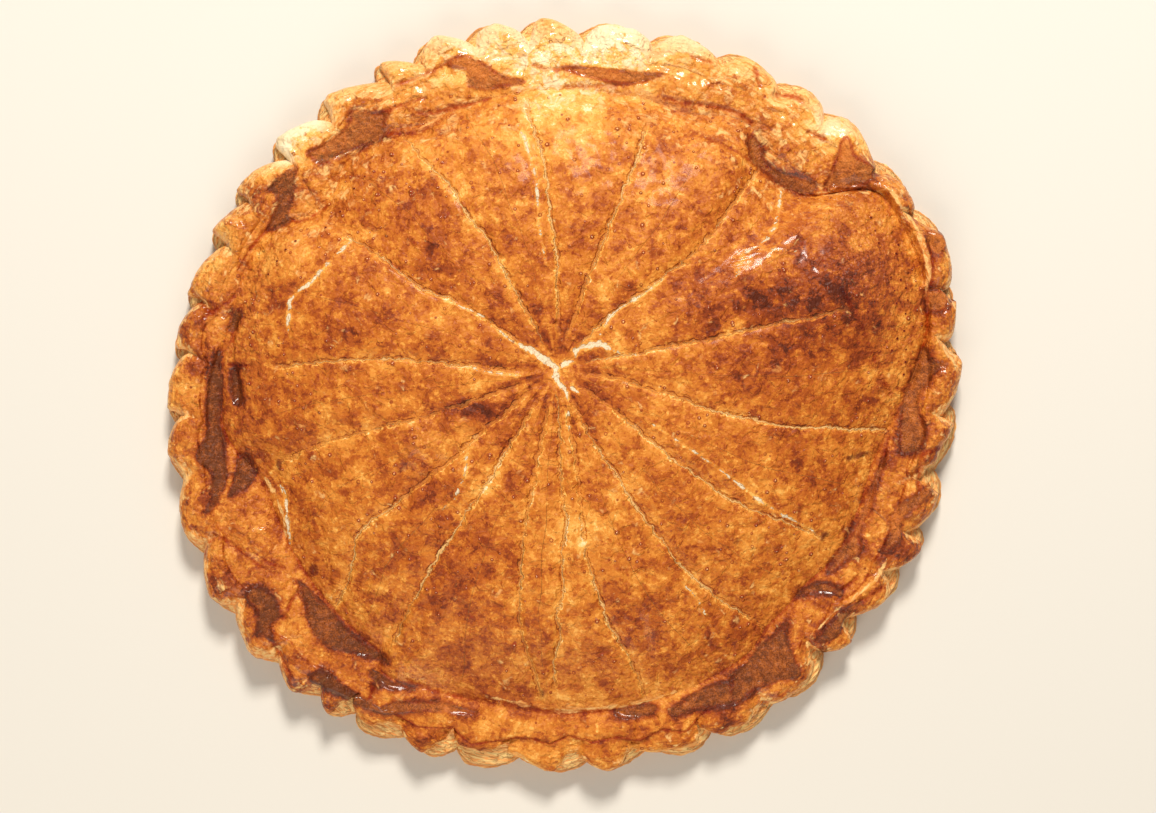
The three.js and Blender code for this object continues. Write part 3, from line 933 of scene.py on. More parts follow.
class Bench:
    """Adds nodes to one node tree."""

    def __init__(self, tree: bpy.types.NodeTree) -> None:
        """Works on a tree."""
        self.tree = tree

    def add(self, kind: str, **values: object) -> bpy.types.Node:
        """A new node with properties set by name."""
        node = self.tree.nodes.new(kind)
        for name, value in values.items():
            setattr(node, name, value)
        return node

    def feed(self, socket: bpy.types.NodeSocket, value: object) -> None:
        """Links an output to a socket, or sets its value."""
        if isinstance(value, bpy.types.NodeSocket):
            self.tree.links.new(value, socket)
        elif isinstance(value, tuple) and len(value) == 3 and socket.type == "RGBA":
            socket.default_value = (*value, 1.0)
        else:
            socket.default_value = value

    def sum(
        self, kind: str, first: object, second: object = 0.0, third: object = 0.0
    ) -> bpy.types.NodeSocket:
        """One step of arithmetic."""
        node = self.add("ShaderNodeMath", operation=kind)
        self.feed(node.inputs[0], first)
        self.feed(node.inputs[1], second)
        self.feed(node.inputs[2], third)
        return node.outputs[0]

    def times(self, first: object, second: object) -> bpy.types.NodeSocket:
        """One value times another."""
        return self.sum("MULTIPLY", first, second)

    def pile(self, total: object, *parts: tuple[object, float]) -> bpy.types.NodeSocket:
        """Adds parts to a value, each times its weight."""
        for part, weight in parts:
            total = self.sum("MULTIPLY_ADD", part, weight, total)
        return total

    def ease(self, value: object, low: object, high: object) -> bpy.types.NodeSocket:
        """Rises smoothly from 0 at low to 1 at high."""
        node = self.add("ShaderNodeMapRange", interpolation_type="SMOOTHSTEP")
        self.feed(node.inputs["Value"], value)
        self.feed(node.inputs["From Min"], low)
        self.feed(node.inputs["From Max"], high)
        return node.outputs["Result"]

    def hump(self, value: object, middle: float, width: float) -> bpy.types.NodeSocket:
        """A smooth hump, 1 at middle and 0 from width away."""
        away = self.sum("ABSOLUTE", self.sum("SUBTRACT", value, middle))
        return self.ease(away, width, 0.0)

    def mix(self, share: object, first: object, second: object, kind: str = "MIX") -> bpy.types.NodeSocket:
        """Mixes two colours."""
        node = self.add("ShaderNodeMix", data_type="RGBA", blend_type=kind)
        self.feed(node.inputs[0], share)
        self.feed(node.inputs[6], first)
        self.feed(node.inputs[7], second)
        return node.outputs[2]

    def kept(self, name: Field) -> bpy.types.NodeSocket:
        """A value kept at the mesh's points."""
        return self.add("ShaderNodeAttribute", attribute_name=name.value).outputs["Fac"]

    def noise(
        self, place: object, size: float, detail: float = 2.0, rough: float = 0.5, warp: float = 0.0
    ) -> bpy.types.NodeSocket:
        """Noise of 0 to 1 whose swells are size millimetres wide."""
        node = self.add("ShaderNodeTexNoise")
        self.feed(node.inputs["Vector"], place)
        node.inputs["Scale"].default_value = 1.0 / size
        node.inputs["Detail"].default_value = detail
        node.inputs["Roughness"].default_value = rough
        node.inputs["Distortion"].default_value = warp
        return node.outputs["Fac"]

    def off(self, value: object) -> bpy.types.NodeSocket:
        """Moves a value of 0 to 1 so that its middle is 0."""
        return self.sum("SUBTRACT", value, 0.5)

    def ramp(self, value: object, stops: tuple[tuple[float, Rgb], ...]) -> bpy.types.NodeSocket:
        """Turns a value into a colour."""
        node = self.add("ShaderNodeValToRGB")
        elements = node.color_ramp.elements
        while len(elements) < len(stops):
            elements.new(1.0)
        for element, (at, colour) in zip(elements, stops):
            element.position = at
            element.color = (*colour, 1.0)
        self.feed(node.inputs["Fac"], value)
        return node.outputs["Color"]

    def raise_skin(self, shader: bpy.types.Node, height: object) -> None:
        """Gives a shader relief from a height in millimetres."""
        relief = self.add("ShaderNodeBump")
        relief.inputs["Strength"].default_value = 1.0
        relief.inputs["Distance"].default_value = MM
        self.feed(relief.inputs["Height"], height)
        self.feed(shader.inputs["Normal"], relief.outputs["Normal"])

    def place(self) -> bpy.types.NodeSocket:
        """The point's place on the pie in millimetres."""
        node = self.add("ShaderNodeVectorMath", operation="SCALE")
        self.feed(node.inputs[0], self.add("ShaderNodeTexCoord").outputs["Object"])
        node.inputs["Scale"].default_value = 1 / MM
        return node.outputs[0]


class LeafPattern:
    """The thin leaves of the dough where its layers show: one shared group of nodes."""

    name: str = "dough_leaves"

    def __init__(self) -> None:
        """Builds the group."""
        tree = bpy.data.node_groups.new(self.name, "ShaderNodeTree")
        for title, kind, value in (("Place", "NodeSocketVector", None), ("Along", "NodeSocketFloat", 5.0),
                                   ("Across", "NodeSocketFloat", 1.5), ("Upward", "NodeSocketFloat", 0.9)):
            socket = tree.interface.new_socket(name=title, in_out="INPUT", socket_type=kind)
            if value is not None:
                socket.default_value = value
        for title in ("Leaf", "Gap"):
            tree.interface.new_socket(name=title, in_out="OUTPUT", socket_type="NodeSocketFloat")
        bench = Bench(tree)
        given = bench.add("NodeGroupInput")
        result = bench.add("NodeGroupOutput")
        parts = bench.add("ShaderNodeSeparateXYZ")
        bench.feed(parts.inputs[0], given.outputs["Place"])
        square = bench.times(parts.outputs["X"], parts.outputs["X"])
        square = bench.sum("MULTIPLY_ADD", parts.outputs["Y"], parts.outputs["Y"], square)
        reach = bench.sum("MAXIMUM", bench.sum("SQRT", square), 1.0)
        outward = bench.sum("DIVIDE", bench.sum("SUBTRACT", reach, BORDER.edge), given.outputs["Across"])
        round_it = bench.sum("DIVIDE", BORDER.edge, given.outputs["Along"])
        stretch = bench.sum("DIVIDE", bench.sum("MAXIMUM", bench.sum("ADD", outward, round_it), 1.0), reach)
        spot = bench.add("ShaderNodeCombineXYZ")
        bench.feed(spot.inputs["X"], bench.times(parts.outputs["X"], stretch))
        bench.feed(spot.inputs["Y"], bench.times(parts.outputs["Y"], stretch))
        bench.feed(spot.inputs["Z"], bench.sum("DIVIDE", parts.outputs["Z"], given.outputs["Upward"]))
        leaf = bench.noise(spot.outputs[0], 1.0, 3.0, 0.62, 0.5)
        away = bench.sum("ABSOLUTE", bench.off(bench.noise(spot.outputs[0], 1.3, 2.0, 0.5, 0.8)))
        bench.feed(result.inputs["Leaf"], leaf)
        bench.feed(result.inputs["Gap"], bench.ease(away, 0.035, 0.0))
        self.tree = tree

    def use(
        self, bench: Bench, place: object, along: float, across: float, upward: float
    ) -> bpy.types.Node:
        """Places the group in a material.

        Args:
            bench: where the material's nodes are added.
            place: the point's place in millimetres.
            along: length of a leaf round the pie.
            across: width of a leaf outward.
            upward: width of a leaf upward.

        Returns:
            The group's node, with the outputs Leaf and Gap.
        """
        node = bench.add("ShaderNodeGroup")
        node.node_tree = self.tree
        bench.feed(node.inputs["Place"], place)
        node.inputs["Along"].default_value = along
        node.inputs["Across"].default_value = across
        node.inputs["Upward"].default_value = upward
        return node


@dataclass(frozen=True)
class GlazedCrust:
    """Egg-washed puff pastry: golden to red-brown, mottled, cracked and glossy."""

    name: str = "glazed_crust"
    roughness: float = 0.55
    coat: float = 0.62
    coat_roughness: float = 0.11
    specular: float = 0.18
    freckle_spacing: float = 4.4
    tones: tuple[tuple[float, Rgb], ...] = (
        # The first stop is reached mostly on the top side, where the crust is painted paler as painted light.
        (0.00, tint(255, 232, 186)),
        (0.20, tint(252, 192, 102)),
        (0.38, tint(235, 157, 67)),
        (0.54, tint(211, 125, 43)),
        (0.68, tint(184, 94, 29)),
        (0.83, tint(145, 61, 21)),
        (1.00, tint(88, 34, 14)),
    )
    crumb: Rgb = tint(242, 224, 190)
    crumb_shade: Rgb = tint(176, 120, 62)
    cut: Rgb = tint(236, 186, 118)
    strip: Rgb = tint(206, 132, 58)
    pool_tones: tuple[tuple[float, Rgb], ...] = (
        (0.20, tint(226, 138, 62)),
        (0.45, tint(208, 118, 46)),
        (0.75, tint(158, 82, 30)),
        (1.00, tint(106, 52, 18)),
    )
    # The crease colour is multiplied into folds, creases and pool edges as painted shade.
    crease: Rgb = tint(196, 124, 84)
    scorch: Rgb = tint(98, 28, 14)
    pale: Rgb = tint(255, 208, 132)
    pale_shade: Rgb = tint(236, 148, 66)
    # Near-white painted highlight: the glint on each bubble's top and the blown-out top side of the border.
    painted_highlight: Rgb = tint(255, 236, 196)
    blister: Rgb = tint(150, 56, 22)

    def make(self, leaves: LeafPattern) -> bpy.types.Material:
        """Builds the material.

        Args:
            leaves: the shared pattern of the dough's leaves.

        Returns:
            The material.
        """
        material = bpy.data.materials.new(self.name)
        material.use_nodes = True
        bench = Bench(material.node_tree)
        shader = material.node_tree.nodes["Principled BSDF"]
        place = bench.place()

        broad = bench.off(bench.noise(place, 14.0, 3.0, 0.5, 0.4))
        patchy = bench.off(bench.noise(place, 4.5, 3.0, 0.6, 0.5))
        fine = bench.off(bench.noise(place, 1.25, 3.0, 0.65))
        grain = bench.off(bench.noise(place, 0.5, 2.0, 0.7))
        torn = bench.off(bench.noise(place, 2.4, 3.0, 0.6))
        sheets = bench.off(bench.noise(place, 7.5, 5.0, 0.6, 0.3))
        blots = bench.off(bench.noise(place, 5.5, 6.0, 0.68, 0.25))
        layer = leaves.use(bench, place, 5.5, 1.5, 1.1)
        leafy = bench.kept(Field.LEAF)
        leaf = bench.times(bench.off(layer.outputs["Leaf"]), leafy)
        tone = bench.pile(
            bench.kept(Field.BROWN),
            (broad, 0.62),
            (patchy, 0.37),
            (fine, 0.38),
            (grain, 0.22),
            (leaf, 1.10),
            (bench.ease(blots, 0.01, 0.08), 0.18),
            (bench.ease(blots, -0.07, -0.12), -0.19),
            (bench.ease(sheets, 0.04, 0.065), -0.10),
            (bench.ease(torn, 0.11, 0.15), -0.18),
        )

        ragged = bench.off(bench.noise(place, 3.2, 2.5, 0.55))
        smooth_side = bench.pile(bench.kept(Field.SIDE), (ragged, 3.8))
        side = bench.pile(smooth_side, (fine, 0.9))
        groove = bench.times(bench.kept(Field.GROOVE), bench.ease(patchy, -0.14, 0.06))
        floor = bench.times(bench.ease(side, -0.85, -0.55), bench.ease(side, 0.55, 0.30))
        floor = bench.times(floor, groove)
        # The lip on the side facing the key light is painted lighter as painted highlight, and the line on
        # the other side is painted darker as painted shade.
        lit_side = bench.times(groove, bench.hump(side, 0.72, 0.38))
        shade = bench.times(groove, bench.hump(side, -0.80, 0.42))
        half = bench.kept(Field.WIDTH)
        cut = bench.sum("SUBTRACT", bench.times(half, 0.42), bench.sum("ABSOLUTE", side))
        tone = bench.pile(tone, (lit_side, -0.42), (shade, 0.30))

        wander = bench.pile(bench.times(ragged, 3.4), (fine, 1.4), (grain, 0.7))
        gape = bench.sum("ADD", bench.kept(Field.CRACK), wander)
        crack = bench.sum("MAXIMUM", gape, cut)
        open_crack = bench.ease(crack, -0.08, 0.16)
        # Just outside each crack the crust is painted paler as painted highlight on the crack's lip.
        crack_lip_highlight = bench.sum("SUBTRACT", bench.ease(gape, -1.0, -0.15), open_crack)
        tone = bench.sum("MULTIPLY_ADD", crack_lip_highlight, -0.22, tone)
        pool = bench.pile(bench.kept(Field.POOL), (patchy, 3.0), (fine, 1.2))
        in_pool = bench.ease(pool, -0.9, 0.6)
        baked = bench.ease(bench.kept(Field.BROWN), -0.05, 0.40)
        near_pool = bench.times(bench.ease(pool, -3.4, 0.4), baked)
        tone = bench.sum("MULTIPLY_ADD", near_pool, 0.30, tone)
        # The dark line round the pools is painted shade where the crust's edge overhangs them.
        pool_edge = bench.sum("SUBTRACT", bench.ease(pool, -0.9, 0.1), bench.ease(pool, 0.2, 1.5))
        pool_edge = bench.times(pool_edge, bench.ease(broad, -0.10, 0.10))
        # The fold mask marks folds and creases, which are painted dark as painted shade and pressed in by the
        # bump.
        fold = bench.sum("ADD", bench.kept(Field.LINE), wander)
        in_fold = bench.ease(fold, -1.3, 0.8)
        pale = bench.pile(bench.kept(Field.PALE), (patchy, 2.2), (leaf, 1.4))
        on_pale = bench.ease(pale, 0.25, 0.65)
        spot = bench.ease(bench.sum("ADD", bench.kept(Field.SPOT), wander), -0.9, 0.8)

        colour = bench.ramp(bench.sum("MULTIPLY_ADD", tone, 0.8, 0.2), self.tones)
        ring, dome = self.freckles(bench, place)
        colour = bench.mix(bench.times(ring, 0.88), colour, self.blister)
        colour = bench.mix(bench.times(floor, 0.45), colour, self.strip)

        speckle = bench.pile(bench.kept(Field.BROWN), (torn, 0.9), (patchy, 0.9), (grain, 1.1))
        pool_colour = bench.ramp(speckle, self.pool_tones)
        pool_colour = bench.mix(bench.times(pool_edge, 0.9), pool_colour, self.crease, "MULTIPLY")
        crumb = bench.mix(bench.ease(gape, -0.3, 0.2), self.cut, self.crumb)
        crumb = bench.mix(bench.times(bench.ease(grain, 0.02, 0.14), 0.6), crumb, self.crumb_shade)
        dough = bench.mix(bench.ease(layer.outputs["Leaf"], 0.62, 0.36), self.pale, self.pale_shade)
        # Where the crust is least brown, on the side facing the key light, the dough is painted near-white as
        # painted highlight.
        dough = bench.mix(bench.ease(bench.kept(Field.BROWN), 0.25, -0.1), dough, self.painted_highlight)
        dough = bench.mix(bench.times(layer.outputs["Gap"], 0.14), dough, self.strip)
        colour = bench.mix(bench.times(on_pale, 0.85), colour, dough)
        # Folds and creases are darkened here as painted shade.
        colour = bench.mix(bench.times(in_fold, 0.95), colour, self.crease, "MULTIPLY")
        glazed = bench.times(in_pool, bench.sum("MULTIPLY_ADD", patchy, 0.7, 0.84))
        colour = bench.mix(glazed, colour, pool_colour)
        colour = bench.mix(bench.times(spot, 0.85), colour, self.scorch)
        colour = bench.mix(bench.times(open_crack, 0.9), colour, crumb)
        bubble = bench.kept(Field.BUBBLE)
        colour = bench.mix(bench.ease(bubble, 0.0, 1.6), colour, self.blister)
        # The middle of each prick is painted dark as painted shade of the hole, with the colour of the
        # scorched spots.
        colour = bench.mix(bench.ease(bubble, 1.7, 2.4), colour, self.scorch)
        # The top of each bubble is painted near-white as a painted glint.
        colour = bench.mix(bench.ease(bubble, 0.0, -1.0), colour, self.painted_highlight)
        bench.feed(shader.inputs["Base Color"], colour)

        gloss = bench.sum("MAXIMUM", bench.kept(Field.GLOSS), bench.times(in_pool, 0.55))
        rough = bench.pile(self.roughness, (patchy, 0.5), (open_crack, 0.3), (gloss, -0.15))
        bench.feed(shader.inputs["Roughness"], rough)
        coat = bench.times(bench.sum("SUBTRACT", 1.0, open_crack), self.coat)
        coat = bench.times(coat, bench.sum("MULTIPLY_ADD", on_pale, -0.5, 1.0))
        coat = bench.times(coat, bench.sum("MULTIPLY_ADD", in_fold, -0.8, 1.0))
        coat = bench.times(coat, bench.sum("SUBTRACT", 1.0, spot))
        bench.feed(shader.inputs["Coat Weight"], bench.times(coat, gloss))
        shader.inputs["Coat Roughness"].default_value = self.coat_roughness
        shader.inputs["Specular IOR Level"].default_value = self.specular

        wrinkle = bench.off(bench.noise(place, 3.2, 1.5, 0.5, 0.35))
        dimple = bench.off(bench.noise(place, 1.6, 1.0, 0.5, 0.3))
        sparkle = bench.off(bench.noise(place, 1.0, 0.0, 0.5))
        flake = bench.off(bench.noise(place, 6.5, 2.5, 0.55, 0.6))
        trench = bench.times(bench.ease(smooth_side, -1.3, -0.7), bench.ease(smooth_side, 0.8, 0.3))
        trench = bench.times(trench, groove)
        calm = bench.sum("MULTIPLY_ADD", in_pool, -0.35, 1.0)
        height = bench.times(bench.sum("MULTIPLY_ADD", gloss, 0.5, 0.8), calm)
        height = bench.pile(
            bench.times(wrinkle, height),
            (bench.times(dimple, bench.sum("MULTIPLY_ADD", gloss, 0.8, 0.3)), 1.0),
            (bench.times(sparkle, bench.ease(gloss, 0.5, 0.9)), 0.34),
            (grain, 0.06),
            (bench.times(leaf, bench.sum("MULTIPLY_ADD", on_pale, -0.7, 1.0)), 0.6),
            (dome, 0.26),
            (open_crack, -0.25),
            (trench, -0.38),
            (in_fold, -0.40),
            (bench.times(in_pool, fine), 0.4),
            (bench.ease(flake, 0.02, 0.10), 0.26),
            (bench.ease(flake, -0.05, -0.14), -0.22),
        )
        bench.raise_skin(shader, height)
        return material

    def freckles(self, bench: Bench, place: object) -> tuple[object, object]:
        """Small blisters with a dark ring, of uneven size and scattered unevenly.

        Args:
            bench: where the material's nodes are added.
            place: the point's place in millimetres.

        Returns:
            The mask of the rings and the height of the blisters, both 0 to 1.
        """
        cells = bench.add("ShaderNodeTexVoronoi", feature="F1")
        bench.feed(cells.inputs["Vector"], place)
        cells.inputs["Scale"].default_value = 1 / self.freckle_spacing
        luck = bench.add("ShaderNodeSeparateColor")
        bench.feed(luck.inputs[0], cells.outputs["Color"])
        size = bench.sum("MULTIPLY_ADD", luck.outputs[0], 0.10, 0.08)
        away = bench.sum("DIVIDE", cells.outputs["Distance"], size)
        chosen = bench.ease(luck.outputs[1], 0.28, 0.38)
        ring = bench.times(chosen, bench.hump(away, 0.85, 0.5))
        return ring, bench.times(chosen, bench.ease(away, 1.0, 0.0))


@dataclass(frozen=True)
class LayeredDough:
    """The torn edge of the dough: pale, thin layers over a matte, evenly baked base."""

    name: str = "layered_dough"
    roughness: float = 0.55
    light: Rgb = tint(255, 212, 134)
    gold: Rgb = tint(252, 163, 76)
    gap: Rgb = tint(196, 106, 46)
    toasted: Rgb = tint(226, 138, 58)
    base: Rgb = tint(196, 126, 62)
    base_dark: Rgb = tint(150, 86, 40)

    def make(self, leaves: LeafPattern) -> bpy.types.Material:
        """Builds the material.

        Args:
            leaves: the shared pattern of the dough's leaves.

        Returns:
            The material.
        """
        material = bpy.data.materials.new(self.name)
        material.use_nodes = True
        bench = Bench(material.node_tree)
        shader = material.node_tree.nodes["Principled BSDF"]
        place = bench.place()
        layer = leaves.use(bench, place, 6.0, 1.3, 0.7)
        patchy = bench.noise(place, 5.0, 3.0, 0.6)
        colour = bench.mix(bench.ease(layer.outputs["Leaf"], 0.36, 0.6), self.gold, self.light)
        colour = bench.mix(bench.times(layer.outputs["Gap"], 0.6), colour, self.gap)
        edge = bench.sum("MULTIPLY_ADD", bench.off(patchy), 1.4, bench.kept(Field.BROWN))
        colour = bench.mix(bench.times(bench.ease(edge, 0.3, 0.9), 0.8), colour, self.toasted)
        under = bench.mix(bench.ease(patchy, 0.35, 0.65), self.base_dark, self.base)
        colour = bench.mix(bench.kept(Field.UNDER), colour, under)
        bench.feed(shader.inputs["Base Color"], colour)
        shader.inputs["Roughness"].default_value = self.roughness
        height = bench.times(layer.outputs["Leaf"], 0.9)
        bench.raise_skin(shader, bench.pile(height, (layer.outputs["Gap"], -0.25)))
        return material


# ----------------------------------------------------------------------------- the lid


@dataclass
class Lid:
    """The domed, scored lid, from its hub out to the crease and on under the border."""

    columns: int = 780
    rings: int = 121
    crowding: float = 0.62
    tuck: tuple[float, float, float] = (0.5, 1.3, 1.6)
    tuck_depth: float = 1.6
    tuck_height: float = 8.0
    lip_drop: float = 0.06
    wedge_rise: float = 0.9

    def crease_round_hub(self) -> tuple[Array, Array]:
        """The crease as directions from the hub and distances, for three turns."""
        angle = np.linspace(0, TURN, 3601)[:-1]
        x, y = plan(angle, BORDER.crease_radius(angle))
        x, y = x - HUB[0], y - HUB[1]
        direction = np.degrees(np.arctan2(y, x)) % TURN
        order = np.argsort(direction)
        direction, reach = direction[order], np.hypot(x, y)[order]
        turns = np.concatenate([direction - TURN, direction, direction + TURN])
        return turns, np.tile(reach, 3)

    def wedges(self, column: Array) -> tuple[Array, Array, Array]:
        """Shares the columns out between the scores.

        Args:
            column: number of each point's column.

        Returns:
            The number of the score before each point, its place from that score to the next,
            from 0 to 1, and its direction from the hub at the crease.
        """
        ends = np.array([score.last for score in SCORES])
        widths = (np.roll(ends, -1) - ends) % TURN
        wide = [widths]
        for distance in (45.0, 85.0):
            bent = np.array([float(score.direction(np.array(distance))) for score in SCORES])
            wide.append((np.roll(bent, -1) - bent) % TURN)
        shares = np.mean(wide, axis=0)
        counts = np.rint(shares / shares.sum() * self.columns).astype(int)
        counts[-1] += self.columns - counts.sum()
        starts = np.concatenate([[0], np.cumsum(counts)])
        column = column % self.columns
        number = np.searchsorted(starts, column, side="right") - 1
        share = (column - starts[number]) / counts[number]
        crowded = share - self.crowding * np.sin(2 * np.pi * share) / (2 * np.pi)
        return number, crowded, ends[number] + widths[number] * crowded

    def build(self) -> bpy.types.Object:
        """Builds the lid as one closed skin."""
        total = self.rings + len(self.tuck) + 2
        piece, column, ring = start_grid("galette_lid", self.columns, total)
        number, across, facing = self.wedges(column)
        top = np.minimum(ring, self.rings)
        share = top / self.rings
        turns, reaches = self.crease_round_hub()
        reach = np.interp(facing, turns, reaches)
        distance = share * reach

        scored = self.bent_scores(distance)
        every = np.arange(len(distance))
        after = (number + 1) % len(SCORES)
        swirl = blend(scored[number, every], scored[after, every], across)
        held = 1 - share**8
        direction = facing + swirl * held
        x, y = plan(direction, distance)
        x, y = x + HUB[0], y + HUB[1]
        angle = np.degrees(np.arctan2(y, x))

        crease_x, crease_y = plan(facing, reach)
        crease_angle = np.degrees(np.arctan2(crease_y + HUB[1], crease_x + HUB[0]))
        foot = SURVEY.crease_height(crease_angle)
        level = blend(foot.mean(), foot, smoothstep(share, 0.0, 0.9))
        z = level + DOME_RISE * (1 - share**3.4) - HUB_DIP * bump(distance, 8.0)
        marks = self.score_marks(number, across, distance, scored)
        z = z + marks["relief"] + marks["swelling"] * held + humps_at(x, y, BLISTERS) * (1 - share**12)
        z = z + self.skin_relief(x, y) * smoothstep(1 - share, 0.0, 0.04)

        open_cracks = cover_of(OPEN_CRACKS + TEARS, x, y)
        lips = smoothstep(open_cracks, -1.6, -0.3) * 0.25
        z = z + lips - 0.5 * smoothstep(open_cracks, -0.7, 0.6)
        pool = SURVEY.pools(x, y)
        z = SURVEY.sink(x, y, z, pool, foot - 0.4)

        # The line mark runs along the folds and the crease; the shader paints it dark as painted shade.
        crease_line = 1.7 * swells_at(angle, CREASE_DEPTHS) - 1.4 - (1 - share) * reach
        line = np.maximum(cover_of(FOLDS, x, y), crease_line)
        z = z - 0.35 * smoothstep(line, -1.2, 0.8) * smoothstep(share, 0.8, 0.9)
        lip_cover = cover_of(LIPS, x, y)
        z = z + 0.5 * smoothstep(lip_cover, -1.4, 0.2) * (1 - share**40)

        groove = bump(marks["side"], 3.4) * marks["along"]
        brown = SURVEY.brown(x, y) - 0.10 * groove
        brown = brown + self.hub_browning_and_shade(direction, distance, marks["side"])
        brown = brown + SURVEY.pool_browning(angle, pool)
        pale = 0.62 * smoothstep(lip_cover, -0.7, 0.5)
        # Towards the top side the lid's edge is painted paler as painted light.
        pale = np.maximum(pale, 0.26 * SUNNY_EDGE.at(angle) * smoothstep(np.hypot(x, y), 92.0, 122.0))

        out = np.zeros_like(z)
        for step, past in enumerate(self.tuck, start=1):
            out[ring == self.rings + step] = past
        z[ring == self.rings + 1] -= self.lip_drop
        z[ring >= self.rings + 2] -= self.tuck_depth
        z[ring >= self.rings + 3] = self.tuck_height
        inner = ring == self.rings + 4
        pole = ring == total
        grow_x, grow_y = plan(angle, out)
        x, y = x + grow_x, y + grow_y
        x[inner], y[inner] = x[inner] * 0.5, y[inner] * 0.5
        x[pole], y[pole] = 0.0, 0.0

        write_points(piece, x, y, z)
        values = {
            Field.BROWN: brown,
            Field.CRACK: open_cracks,
            Field.SIDE: marks["side"],
            Field.WIDTH: marks["half"],
            Field.GROOVE: marks["along"],
            Field.GLOSS: SURVEY.gloss(x, y),
            Field.POOL: pool,
            Field.LINE: line,
            Field.PALE: pale,
            Field.SPOT: cover_of(SPOTS, x, y),
        }
        write_marks(piece, values)
        close_skin(piece)
        return piece

    def bent_scores(self, distance: Array) -> Array:
        """Each score's wandering direction at each distance, one row for each score."""
        rows = []
        for index, score in enumerate(SCORES):
            wiggle = 0.45 * SURVEY.noise.at(distance, 9.0 * index, 0.5, 7.0)
            wiggle = wiggle + 0.7 * SURVEY.noise.at(distance, 9.0 * index, 4.5, 21.0)
            bent = score.direction(distance) + np.degrees(wiggle / np.maximum(distance, 32.0))
            rows.append(turn_to(score.last, bent))
        return np.array(rows)

    def score_marks(self, number: Array, across: Array, distance: Array, turns: Array) -> dict[str, Array]:
        """The relief and the marks along the scores.

        Args:
            number: number of the score before each point.
            across: place from that score to the next, 0 to 1.
            distance: distance from the hub.
            turns: how far each score has turned from its last direction, from bent_scores.

        Returns:
            The change of height; the distance to the side of the nearest score, positive on the side that
            faces the key light and stands raised; the half-width of its crack; and how deep its groove is.
        """
        every = np.arange(len(distance))
        after = (number + 1) % len(SCORES)
        ends = np.array([score.last for score in SCORES])
        width = (ends[after] - ends[number]) % TURN + turns[after, every] - turns[number, every]
        reach = np.radians(width) * distance
        nearer = np.where(across < 0.5, number, after)
        side = np.where(across < 0.5, across * reach, (across - 1) * reach)
        half = np.zeros_like(distance)
        depth, lip, along = np.zeros_like(distance), np.zeros_like(distance), np.zeros_like(distance)
        lit_side = np.ones_like(distance)
        for index, score in enumerate(SCORES):
            here = nearer == index
            uneven = 1 + 0.55 * SURVEY.noise.at(distance[here], 31.0 * index, 2.2, 4.0)
            open_half = score.half_width(distance[here])
            half[here] = np.where(open_half > 0, open_half * uneven, open_half)
            depth[here], lip[here] = score.depth, score.lip
            fade = 1 - smoothstep(distance[here], score.end - 3, score.end + 7)
            along[here] = smoothstep(distance[here], 6.0, 24.0) * fade
            # Each score's lit side is the one that faces the key light from the top.
            lit_side[here] = -np.sign(math.cos(math.radians(score.last)))
        side = side * lit_side
        groove = -depth * bump(side + 0.4, 1.8) * along
        raised = lip * bump(side - 2.4, 1.6) * along
        swelling = self.wedge_rise * np.sin(np.pi * across) * smoothstep(distance, 0.0, 60.0)
        side = np.clip(side, -FAR, FAR)
        return {"relief": groove + raised, "swelling": swelling, "side": side, "half": half, "along": along}

    def skin_relief(self, x: Array, y: Array) -> Array:
        """Swells, dimples and wrinkles of the baked skin."""
        noise = SURVEY.noise
        rough = 1 + humps_at(x, y, (Hump(21, 115, 44, 34, 0.2), Hump(200, 58, 20, 20, 0.8)))
        swells = 0.45 * noise.at(x, y, 1.0, 24.0)
        wrinkles = 0.32 * noise.at(x, y, 2.0, 8.0) + 0.26 * noise.at(x, y, 3.0, 3.8)
        return swells + wrinkles * rough

    def hub_browning_and_shade(self, direction: Array, distance: Array, side: Array) -> Array:
        """Darker folds that fan out from the hub, and painted shade on the side of each score away from the
        key light.
        """
        x, y = plan(direction, 1.0)
        rays = SURVEY.noise.at(x * 7.0, y * 7.0, 8.0, 1.0)
        near = smoothstep(distance, 3.0, 10.0) * (1 - smoothstep(distance, 16.0, 50.0))
        return (0.24 * np.maximum(rays, 0.0) + 0.19 * bump(side + 1.9, 1.7)) * near


# ----------------------------------------------------------------------------- the border


